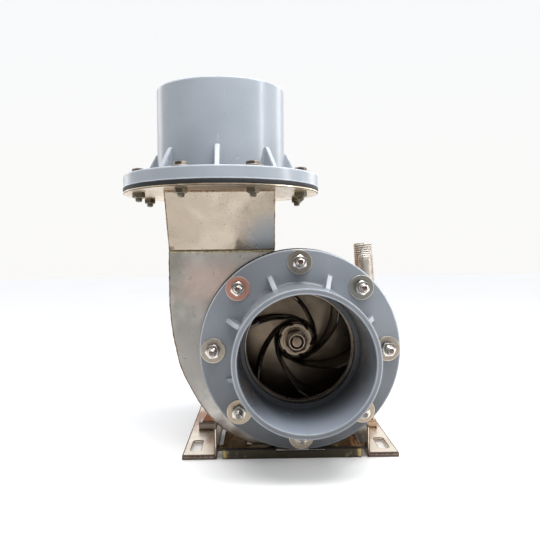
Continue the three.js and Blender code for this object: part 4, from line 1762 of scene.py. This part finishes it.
@dataclass(frozen=True)
class Rail:
    """One rail: a tray on the floor with turned-down edges and a standing web."""

    side: str  # "left" or "right", as the nodes are named
    outer: float  # X of its outer edge
    inward: int  # 1 where the middle of the pump is at larger X, and -1 on the other side
    width: float
    length: float = 400.0
    sheet: float = 4.0
    floor: float = -185.0
    top: float = -177.0
    web_top: float = -131.0
    slot_middle: float = 20.5
    slot_half: float = 9.0
    slot_ends: Range = (23.0, 87.0)
    pad_ends: Range = (172.0, 137.0)

    def _span(self, near: float, far: float) -> Range:
        """Gives two X values in order, from distances to the outer edge."""
        ends = sorted((self.outer + self.inward * near, self.outer + self.inward * far))
        return ends[0], ends[1]

    def build(self) -> None:
        """Builds the rail with its slot and its pad."""
        draft = Draft(f"folded_rail_{self.side}", RAIL_SHEET)
        fold = Rim(1.9, 2.4, 4)
        x0, x1 = self._span(0.0, self.width - 0.5)
        slot_x = self.outer + self.inward * self.slot_middle
        near, far = self.slot_ends
        slot = hole(box_outline(slot_x - self.slot_half, near, slot_x + self.slot_half, far, 6.0))
        tray = box_outline(x0, 0.0, x1, self.length, 1.5)
        draft.plate(Drawn.FLOOR, tray, self.top - self.sheet, self.top, [slot], fold, hole_rim=Rim(0.6, 1.5))
        lip = Rim(0.7, 1.0)
        under = self.top - self.sheet / 2
        edge = box_outline(0.2, self.floor, self.length - 0.2, under)
        draft.plate(Drawn.SIDE, edge, *self._span(0.0, self.sheet), rim=lip)
        web = box_outline(0.0, self.floor, self.length, self.web_top, 2.5)
        draft.plate(Drawn.SIDE, web, *self._span(self.width - self.sheet, self.width), rim=Rim(1.0, 2.6))
        x0, x1 = self._span(1.0, self.width - 1)
        draft.plate(Drawn.FRONT, box_outline(x0, self.floor, x1, under), 0.0, self.sheet, rim=lip)
        draft.done(f"base_rail_{self.side}")
        x0, x1 = sorted(MIDDLE - self.inward * end for end in self.pad_ends)
        draft = Draft(f"rounded_pad_{self.side}", PAD_STEEL)
        draft.plate(Drawn.SIDE, box_outline(151, -176.6, 179, -161.2, 3.2, 4), x0, x1, rim=Rim(0.9, 1.6))
        draft.done(f"support_pad_{self.side}")
        draft = Draft(f"rail_welds_{self.side}", BASE_WELD)
        edge = self.outer + self.inward * (self.width - 4.2)
        draft.bead([(edge, 152, -176.4), (edge, 182, -176.4)], 4.0)
        draft.bead([(x0, 150.6, -176.6), (x1, 150.6, -176.6)], 3.2)
        draft.bead([(edge + self.inward, 152.2, -172), (edge + self.inward, 152.2, -132)], 4.4)
        draft.done()


@dataclass(frozen=True)
class CrossChannels:
    """The folded channels between the rails."""

    left: float = -142.8
    right: float = 112.8
    floor: float = -185.0
    top: float = -167.0
    sheet: float = 4.0

    def build(self) -> None:
        """Builds both channels."""
        middle = self.left + self.right
        shape = ((self.left, 0.0), (-42, 0.0), (-42, 26.2), (-92, 26.2), (-92, 109), (-133.7, 109),
                 (-133.7, 26.2), (self.left, 23.2))
        fold = Rim(1.9, 1.8, 4)
        lip = Rim(0.8, 1.4)
        under = self.top - self.sheet
        draft = Draft("front_folded_channel", CHANNEL_SHEET)
        draft.plate(Drawn.FLOOR, Outline(shape, 1.0), under, self.top, rim=fold)
        mirrored = tuple((middle - x, y) for x, y in reversed(shape))
        draft.plate(Drawn.FLOOR, Outline(mirrored, 1.0), under, self.top, rim=fold)
        mid = self.top - self.sheet / 2
        ends = (self.left + 9, self.right - 9)
        front = Outline(((ends[0], self.floor), (ends[1], self.floor), (ends[1], mid), (42, mid), (42, -172),
                         (-42, -172), (-42, mid), (ends[0], mid)), 1.2)
        draft.plate(Drawn.FRONT, front, 0.0, self.sheet, rim=lip)
        draft.done("front_cross_channel")
        draft = Draft("rear_folded_channel", BASE_SHEET)
        draft.plate(Drawn.FLOOR, box_outline(self.left, 340, self.right, 390, 1.0), under, self.top, rim=fold)
        for low in (340, 386):
            web = box_outline(self.left, self.floor, self.right, mid)
            draft.plate(Drawn.FRONT, web, low, low + self.sheet, rim=lip)
        draft.done("rear_cross_channel")
        draft = Draft("channel_welds", BASE_WELD)
        for x in (self.left, self.right):
            for near, far in ((4, 22), (342, 388)):
                draft.bead([(x, near, self.top), (x, far, self.top)], 3.6)
        draft.done()


@dataclass(frozen=True)
class SupportPlate:
    """The standing plate that carries the casing, over the rails."""

    front: float = 153.2
    back: float = 159.3
    radius: float = 65.0
    foot: float = -160.8
    half: float = 166.0
    webs: tuple[Range, ...] = ((-147.4, -142.6), (112.6, 117.4))

    def build(self) -> None:
        """Builds the plate and its welds."""
        left = Vector((MIDDLE - self.half, self.foot))
        right = Vector((MIDDLE + self.half, self.foot))
        start = math.degrees(math.atan2(right.y, right.x) + math.acos(self.radius / right.length))
        end = math.degrees(math.atan2(left.y, left.x) - math.acos(self.radius / left.length)) + 360
        line = [tuple(left)]
        for x0, x1 in self.webs:
            line += [(x0, self.foot), (x0, -130.6), (x1, -130.6), (x1, self.foot)]
        line += [tuple(right), *arc((0, 0), self.radius, start, end, 30)]
        draft = Draft("rear_standing_plate", BASE_SHEET)
        draft.plate(Drawn.FRONT, Outline(tuple(line)), self.front, self.back, [SHAFT_HOLE], Rim(0.6, 3.0))
        draft.done("rear_support_plate")
        draft = Draft("support_plate_welds", BASE_WELD)
        for angle in (200, 250, 305, 350):
            line = arc((0, 0), SCROLL.radius(180) - 22, angle, angle + 12, 4)
            draft.bead([(x, self.back - 6.2, z) for x, z in line], 4.0)
        for x0, x1 in self.webs:
            for x in (x0, x1):
                draft.bead([(x, self.back + 0.4, self.foot + 2), (x, self.back + 0.4, -133)], 4.0)
        draft.done()


@dataclass(frozen=True)
class Impeller:
    """The open wheel: a back disc with a hub and six backward vanes."""

    radius: float = 130.0
    bore: float = 13.8
    hub: float = 32.0
    hub_front: float = 125.0
    hub_back: float = 140.0
    disc: float = 133.0
    vane_front: float = 48.0
    vanes: int = 6
    half: float = 2.5
    reference: float = 92.0  # the radius where the first vane stands at its angle
    angle: float = 39.5  # that angle in degrees
    outer_sweep: float = 62.0  # how strongly a vane winds
    inner_sweep: float = 90.0  # how much more it winds inside the bend
    bend: float = 48.0
    sloped: float = 80.0  # inside this radius a vane's front edge falls back
    slope: float = 1.449

    def build(self) -> None:
        """Builds the wheel."""
        draft = Draft("open_impeller", IMPELLER, VANE)
        disc, hub = self.disc, self.hub
        section = Outline((
            (self.bore, self.hub_front), (hub - 2, self.hub_front), (hub, self.hub_front + 2),
            (hub + 2.5, disc - 8), *arc((hub + 10.5, disc - 8), 8.0, 180, 90, 6)[1:], (self.radius, disc),
            (self.radius, disc + 4), (hub, disc + 4), (hub, self.hub_back), (self.bore, self.hub_back),
        ), radius=1.2)
        draft.turned(section, TO_BACK, 144)
        for i in range(self.vanes):
            self._vane(draft, i * 360 / self.vanes)
        draft.done("impeller", body=ROTOR)

    def _centre(self, radius: float, turn: float) -> Vector:
        """Gives a point of a vane's centre line.

        Args:
            radius: its distance from the shaft axis.
            turn: the vane's angle in degrees.

        Returns:
            The point in X and Z.
        """
        past = math.log(self.bend / radius)
        wound = self.inner_sweep * (past + math.hypot(past, 0.12)) / 2
        sweep = self.outer_sweep * math.log(self.reference / radius)
        angle = math.radians(self.angle - sweep - wound + turn)
        return Vector((radius * math.cos(angle), radius * math.sin(angle)))

    def _vane(self, draft: Draft, turn: float) -> None:
        """Adds one vane, rounded in front and flared where it meets the disc.

        Args:
            draft: the wheel.
            turn: its angle in degrees.
        """
        rows, worn = [], []
        first, last, count = 28.5, self.radius - 1.2, 48
        for i in range(count + 1):
            radius = first + (last - first) * i / count
            here = self._centre(radius, turn)
            way = (self._centre(radius + 0.5, turn) - self._centre(radius - 0.5, turn)).normalized()
            across = way.orthogonal()
            front = self.vane_front + self.slope * max(0.0, self.sloped - radius)
            thin = min(1.0, 0.45 + 0.55 * min(1.0, (last - radius) / 7, (radius - first) / 3 + 0.6))
            half = self.half * thin
            flare = ((2.2, -1.2), (1.5, 0.6), (0.5, 1.9), (0.0, 3.6))
            side = [(half + out, self.disc - rise) for out, rise in flare]
            side.append((half, front + half + 1.5))
            for angle in (math.radians(degrees) for degrees in (0, 22, 45, 68, 90)):
                side.append((half * math.cos(angle), front + half - half * math.sin(angle)))
            both = side + [(-offset, depth) for offset, depth in reversed(side[:-1])]
            rows.append([(here.x + across.x * offset, depth, here.y + across.y * offset)
                         for offset, depth in both])
            marks = [0.0, 0.0, 0.0, 0.0, 0.0, 0.2, 0.7, 1.0, 1.0, 1.0]
            worn.append(marks + marks[-2::-1])
        draft.loft(rows, worn, 1, lids=True)


@dataclass(frozen=True)
class ShaftLine:
    """The shaft with its impeller nut."""

    radius: float = 15.0
    nose: float = 13.5
    front: float = 86.0
    hub_front: float = 125.0
    hub_back: float = 140.3
    back: float = 490.0

    def build(self) -> None:
        """Builds the shaft and the nut."""
        draft = Draft("pump_shaft", TURNED, HUB_NUT)
        nose = self.hub_front + 1 - self.front
        draft.thread(12.0, 1.75, nose, moved(y=self.hub_front + 1) @ TO_FRONT, 1, 2.4)
        section = Outline((
            (0.0, self.hub_front), (self.nose, self.hub_front), (self.nose, self.hub_back),
            (self.radius, self.hub_back), (self.radius, self.back), (4.0, self.back), (1.5, self.back - 3.2),
            (0.0, self.back - 4.6),
        ), 0.9, closed=False)
        draft.turned(section, TO_BACK, 64)
        draft.plate(Drawn.FRONT, box_outline(-4, 10.5, 4, 18.0, 0.6), 422, 478, rim=Rim(0.5, 1.0))
        draft.done("shaft", body=ROTOR)
        draft = Draft("impeller_nut_and_washer", HUB_NUT)
        draft.hexagon(36.0, 32.0, moved(y=122.0) @ TO_FRONT @ turned_to(15), 12.2)
        draft.turned(box_outline(12.3, 0.0, 23.5, 2.9, 0.7), moved(y=124.8) @ TO_FRONT, 64)
        draft.done("impeller_nut", body=ROTOR)


@dataclass(frozen=True)
class Pulley:
    """The belt pulley with its three grooves and its grub screw."""

    front: float = 415.0
    width: float = 64.0
    outer: float = 100.0
    rim: float = 79.0
    hub: float = 30.0
    bore: float = 15.2
    hollow: float = 27.0
    depth: float = 13.0
    pitch: float = 19.0

    def build(self) -> None:
        """Builds the pulley."""
        front, back, outer = self.front, self.front + self.width, self.outer
        line = [(self.bore, front + 4), (self.hub, front + 4), (self.hub, front + self.hollow),
                (self.rim, front + self.hollow), (self.rim, front), (outer, front)]
        bottom = outer - self.depth
        for i in range(3):
            middle = front + self.width / 2 + (i - 1) * self.pitch
            for radius, across in ((outer, -8.5), (bottom, -4.5), (bottom, 4.5), (outer, 8.5)):
                line.append((radius, middle + across))
        line += [(outer, back), (self.rim, back), (self.rim, back - self.hollow),
                 (self.hub, back - self.hollow), (self.hub, back + 2), (self.bore, back + 2)]
        draft = Draft("grooved_pulley", PULLEY_IRON, NUT)
        draft.turned(Outline(tuple(line), 0.9, 2), TO_BACK, 128)
        draft.thread(3.4, pitch=1.0, length=9.0, place=moved(y=front + 11, z=24), finish=1, dome=0.6)
        draft.done("drive_pulley", body=ROTOR)


@dataclass(frozen=True)
class ShaftSeal:
    """The stuffing box behind the support plate, with its gland."""

    front: float = 159.6

    def build(self) -> None:
        """Builds the box, the gland and their bolts."""
        front = self.front
        box = ((16.0, front), (62, front), (62, front + 9), (45, front + 9), (40, front + 14),
               (40, front + 44), (16, front + 44))
        gland = ((16.0, front + 44.3), (28, front + 44.3), (40, front + 47), (40, front + 55),
                 (16, front + 55))
        for name, node, section, radius in (("stuffing_box_body", "stuffing_box", box, 1.4),
                                            ("gland_ring", "gland_follower", gland, 1.2)):
            draft = Draft(name, TURNED)
            draft.turned(Outline(section, radius), TO_BACK, 96)
            draft.done(node)
        draft = Draft("seal_bolts", NUT)
        for i in range(6):
            spot = TO_BACK @ turned_to(30 + 60 * i, 52.5, front + 9.1)
            draft.hexagon(13, 5.5, spot)
        for angle in (90, 270):
            spot = TO_BACK @ turned_to(angle, 33.0, front + 55.0)
            draft.hexagon(13, 7.0, spot, 3.9)
            draft.thread(4.2, 1.25, 15.0, spot, dome=0.8)
        draft.done()


@dataclass(frozen=True)
class BearingStand:
    """The bearing housing with its covers, on two saddles over the bed."""

    front: float = 235.0
    back: float = 380.0
    bed: float = -122.8

    def build(self) -> None:
        """Builds the housing and what carries it."""
        draft = Draft("bearing_barrel", FRAME_PAINT)
        front, back = self.front, self.back
        section = Outline((
            (31.0, front), (44, front), (44, front + 34), (42.5, front + 40),
            (42.5, back - 40), (44, back - 34), (44, back), (31, back),
        ), 1.4)
        draft.turned(section, TO_BACK, 96)
        draft.done("bearing_housing")
        self._cover("front_bearing_cap", "front_bearing_cover", moved(y=front - 0.2) @ TO_FRONT)
        self._cover("rear_bearing_cap", "rear_bearing_cover", moved(y=back + 0.2) @ TO_BACK)
        self._saddles()
        self._fittings()

    def _cover(self, name: str, node: str, place: Matrix) -> None:
        """Builds one cover with its bolts.

        Args:
            name: the piece's name.
            node: the node that it stands for.
            place: the cover's inner face, with Z pointing outwards.
        """
        draft = Draft(name, FRAME_PAINT, NUT)
        section = Outline(((16.0, 0.0), (53, 0), (53, 9), (31, 9), (29, 15.3), (16, 15.3)), 1.3)
        draft.turned(section, place, 96)
        for i in range(6):
            draft.hexagon(10, 4.5, place @ turned_to(60 * i + 30, 45.0, 9.05), finish=1)
        draft.done(node)

    def _saddles(self) -> None:
        """Builds the bed and the two saddles with their welds."""
        draft = Draft("bearing_bed_plate", BASE_SHEET)
        bed = box_outline(-147, 228, 117, 392, 5.0)
        draft.plate(Drawn.FLOOR, bed, self.bed - 8, self.bed, rim=Rim(0.8, 3.0))
        draft.done("bearing_bed")
        notch = arc((0.0, 0.0), 44.2, -7.8, -172.2, 32)
        low = self.bed + 0.1
        shape = ((-88, low), (88, low), (88, low + 14), (54, -6), *notch, (-54, -6), (-88, low + 14))
        welds = Draft("saddle_welds", BASE_WELD)
        for name, node, near in (("front_saddle", "front_saddle_plate", self.front + 14),
                                 ("rear_saddle", "rear_saddle_plate", self.back - 22)):
            draft = Draft(name, FRAME_PAINT)
            draft.plate(Drawn.FRONT, Outline(shape, 3.0), near, near + 8, rim=Rim(0.8, 2.6))
            draft.done(node)
            for depth in (near - 0.5, near + 8.5):
                welds.bead([(-86, depth, low + 0.8), (86, depth, low + 0.8)], 4.4)
                welds.bead([(x, depth, z) for x, z in arc((0, 0), 44.8, -12, -168, 20)], 3.8)
        for x in (-145, 115):
            welds.bead([(x, 230, self.bed - 8.2), (x, 390, self.bed - 8.2)], 4.2)
        welds.done()

    def _fittings(self) -> None:
        """Adds a grease nipple over each bearing."""
        draft = Draft("grease_nipples", NUT)
        section = Outline((
            (0.0, 5.0), (2.6, 5.0), (2.6, 7.0), (2.0, 8.2), (3.1, 9.8), (3.1, 11.4), (1.8, 13.2), (0.0, 13.4),
        ), 0.3, closed=False)
        for depth in (self.front + 12, self.back - 12):
            place = moved(y=depth, z=43.6)
            draft.hexagon(9, 5.5, place)
            draft.turned(section, place, 24)
        draft.done()


@dataclass(frozen=True)
class CarriedBearings:
    """The two bearings, which keep the shapes that the frame has."""

    nodes: tuple[str, ...] = ("front_bearing", "rear_bearing")

    def dress(self) -> None:
        """Gives the bearings their finish."""
        for piece in bpy.data.objects:
            if piece.type == "MESH" and piece.name.split(".")[0] in self.nodes:
                piece.data.materials.clear()
                piece.data.materials.append(TURNED.material())
                log.info("%s: dressed as it is", piece.name)


@dataclass(frozen=True)
class PaleFloor(Finish):
    """A matt pale floor with hardly any grain, which glows: painted light, faint near the pump to lift its
    shadow and stronger far out.
    """

    def lay(self, board: Board) -> None:
        """Lays out the floor.

        Args:
            board: the material's board.
        """
        cloud = board.mask(board.noise(420, 3.0), 0.3, 0.7)
        colour = board.mix(cloud, (244, 243, 241), (248, 247, 246))
        glow = board.between(board.mask(board.length(board.place), 700.0, 3500.0), 0.12, 0.24)
        emission = {"Emission Strength": glow, "Emission Color": (255, 255, 255)}
        rough = board.between(board.noise(60), 0.7, 0.8)
        board.dress(colour, rough, 0.0, board.bump((board.noise(3.0), 0.05)), **emission)


@dataclass(frozen=True)
class Softbox:
    """An area light."""

    name: str
    place: Triple  # where it stands, in metres of the frame
    aim: Triple  # the point that it faces
    size: tuple[float, float]  # its width and height in metres
    power: float  # its power in watts

    def build(self) -> None:
        """Adds the light."""
        data = bpy.data.lights.new(self.name, "AREA")
        data.shape = "RECTANGLE"
        data.size, data.size_y = self.size
        data.energy = self.power
        light = added(self.name, data)
        light.location = self.place
        light.rotation_euler = (Vector(self.aim) - Vector(self.place)).to_track_quat("-Z", "Y").to_euler()


@dataclass(frozen=True)
class Studio:
    """The floor, the lights and the camera at the photograph's angle."""

    lens: float = 42.23
    eye: Triple = (-70.11, -1065.98, 160.04)
    turn: Triple = (-0.019, -0.0235, -0.01)
    floor: float = -0.0005  # in metres, so that the rails don't meet it exactly
    white_sky: tuple[tuple[float, Colour], ...] = (
        (-1.0, (235, 226, 212)), (1.0, (240, 246, 255)), (-0.05, (250, 249, 247)), (0.2, (250, 250, 250)),
    )
    grey_sky: tuple[tuple[float, Colour], ...] = (
        (-1.0, (70, 65, 60)), (1.0, (245, 250, 255)), (0.0, (112, 106, 101)), (0.35, (88, 85, 82)),
    )
    lights: tuple[Softbox, ...] = (
        Softbox("front_softbox", (0.3, -0.95, 1.5), (0.0, -0.2, 0.35), (1.0, 0.8), 4.5),
        Softbox("top_softbox", (0.25, -0.9, 1.9), (0.05, -0.25, 0.2), (1.5, 0.8), 22.0),
        Softbox("overhead_softbox", (0.0, -0.2, 2.6), (0.0, -0.1, 0.0), (2.4, 2.4), 5.0),
        Softbox("side_strip", (2.1, -0.52, 0.75), (0.0, -0.2, 0.5), (0.1, 1.4), 12.0),
        Softbox("right_softbox", (1.5, -0.7, 1.5), (0.0, -0.1, 0.5), (0.6, 0.6), 4.0),
        Softbox("left_edge_light", (-1.3, 1.0, 0.75), (0.0, 0.0, 0.4), (0.5, 1.4), 3.5),
        Softbox("right_edge_light", (1.3, 1.0, 0.75), (0.0, 0.0, 0.4), (0.5, 1.4), 5.5),
    )

    def build(self) -> None:
        """Builds the studio."""
        self._floor()
        self._world()
        for light in self.lights:
            light.build()
        self._camera()

    def _floor(self) -> None:
        """Lays the floor."""
        draft = bmesh.new()
        bmesh.ops.create_grid(draft, x_segments=24, y_segments=24, size=9.0)
        data = bpy.data.meshes.new("studio_floor")
        draft.to_mesh(data)
        draft.free()
        data.materials.append(PaleFloor("pale_floor", "").material())
        floor = added("studio_floor", data)
        floor.location.z = self.floor

    def _world(self) -> None:
        """Makes a soft world, white all round and grey where the front of the pump looks."""
        world = bpy.data.worlds.new("studio_world")
        world.use_nodes = True
        sky = NodeBoard(world.node_tree)
        way = sky.node("ShaderNodeTexCoord", {}, output="Generated")
        height = sky.node("ShaderNodeSeparateXYZ", {0: way}, output="Z")
        front = sky.mask(sky.node("ShaderNodeSeparateXYZ", {0: way}, output="Y"), 0.05, -0.4)
        white, grey = self._ramp(sky, height, self.white_sky), self._ramp(sky, height, self.grey_sky)
        sky.feed(sky.tree.nodes["Background"].inputs["Color"], sky.mix(front, white, grey))
        bpy.context.scene.world = world

    def _ramp(self, sky: NodeBoard, height: Socket, stops: Sequence[tuple[float, Colour]]) -> Socket:
        """Adds a colour ramp over the height that a direction points to.

        Args:
            sky: the world's board.
            height: the direction's Z, from -1 to 1.
            stops: heights from -1 to 1 with their colours.

        Returns:
            The colour.
        """
        ramp = sky.tree.nodes.new("ShaderNodeValToRGB")
        sky.feed(ramp.inputs[0], sky.node("ShaderNodeMapRange", {"Value": height, "From Min": -1.0}))
        for i, (at, colour) in enumerate(stops):
            stop = ramp.color_ramp.elements[i] if i < 2 else ramp.color_ramp.elements.new(0.5)
            stop.position = (at + 1) / 2
            stop.color = linear(colour)
        return ramp.outputs["Color"]

    def _camera(self) -> None:
        """Adds the camera."""
        data = bpy.data.cameras.new("photo_camera")
        data.lens = self.lens
        camera = added("photo_camera", data)
        yaw, pitch, roll = self.turn
        turned = Matrix.Rotation(yaw, 4, "Z") @ Matrix.Rotation(math.pi / 2 + pitch, 4, "X")
        spot = Matrix.Translation(PUMP @ Vector(self.eye))
        camera.matrix_world = spot @ turned @ Matrix.Rotation(roll, 4, "Z")
        bpy.context.scene.camera = camera
        bpy.context.scene.view_settings.view_transform = "Standard"


def main() -> None:
    """Builds the pump's sub-assemblies in order."""
    logging.basicConfig(level=logging.INFO, format="%(message)s")
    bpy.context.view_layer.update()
    suction = moved(y=21.0) @ TO_FRONT
    discharge = moved(*OUTLET, 276.7)
    assemblies = (
        Rail("left", -202.0, 1, 59.0),
        Rail("right", 167.0, -1, 54.0),
        CrossChannels(),
        SupportPlate(),
        Casing(),
        Nipple(),
        Duct(),
        SteelFlange(),
        Gasket("suction_rubber_ring", "suction_gasket", moved(-0.8, FRONT_Y, 0.9) @ TO_FRONT),
        Gasket("discharge_rubber_ring", "discharge_gasket", moved(*OUTLET, 270.7)),
        PipeFlange("suction_moulding", "suction_pvc_flange", suction, PVC_SUCTION, 22.5),
        PipeFlange("discharge_moulding", "discharge_pvc_flange", discharge, PVC),
        FlangeFasteners("suction_studs", TO_FRONT, Fastening.STUD_AND_NUT, 0.0, 30.0, 7.0, 22.0, 21.0),
        FlangeFasteners(
            "discharge_bolts", moved(*OUTLET, 297.7), Fastening.HEADED_BOLT, 22.5, 30.7, 6.0, 19.0, 17.0
        ),
        Impeller(),
        ShaftLine(),
        Pulley(),
        ShaftSeal(),
        BearingStand(),
    )
    for assembly in assemblies:
        assembly.build()
        log.info("%s built", type(assembly).__name__)
    CarriedBearings().dress()
    Studio().build()


if __name__ == "__main__":
    main()
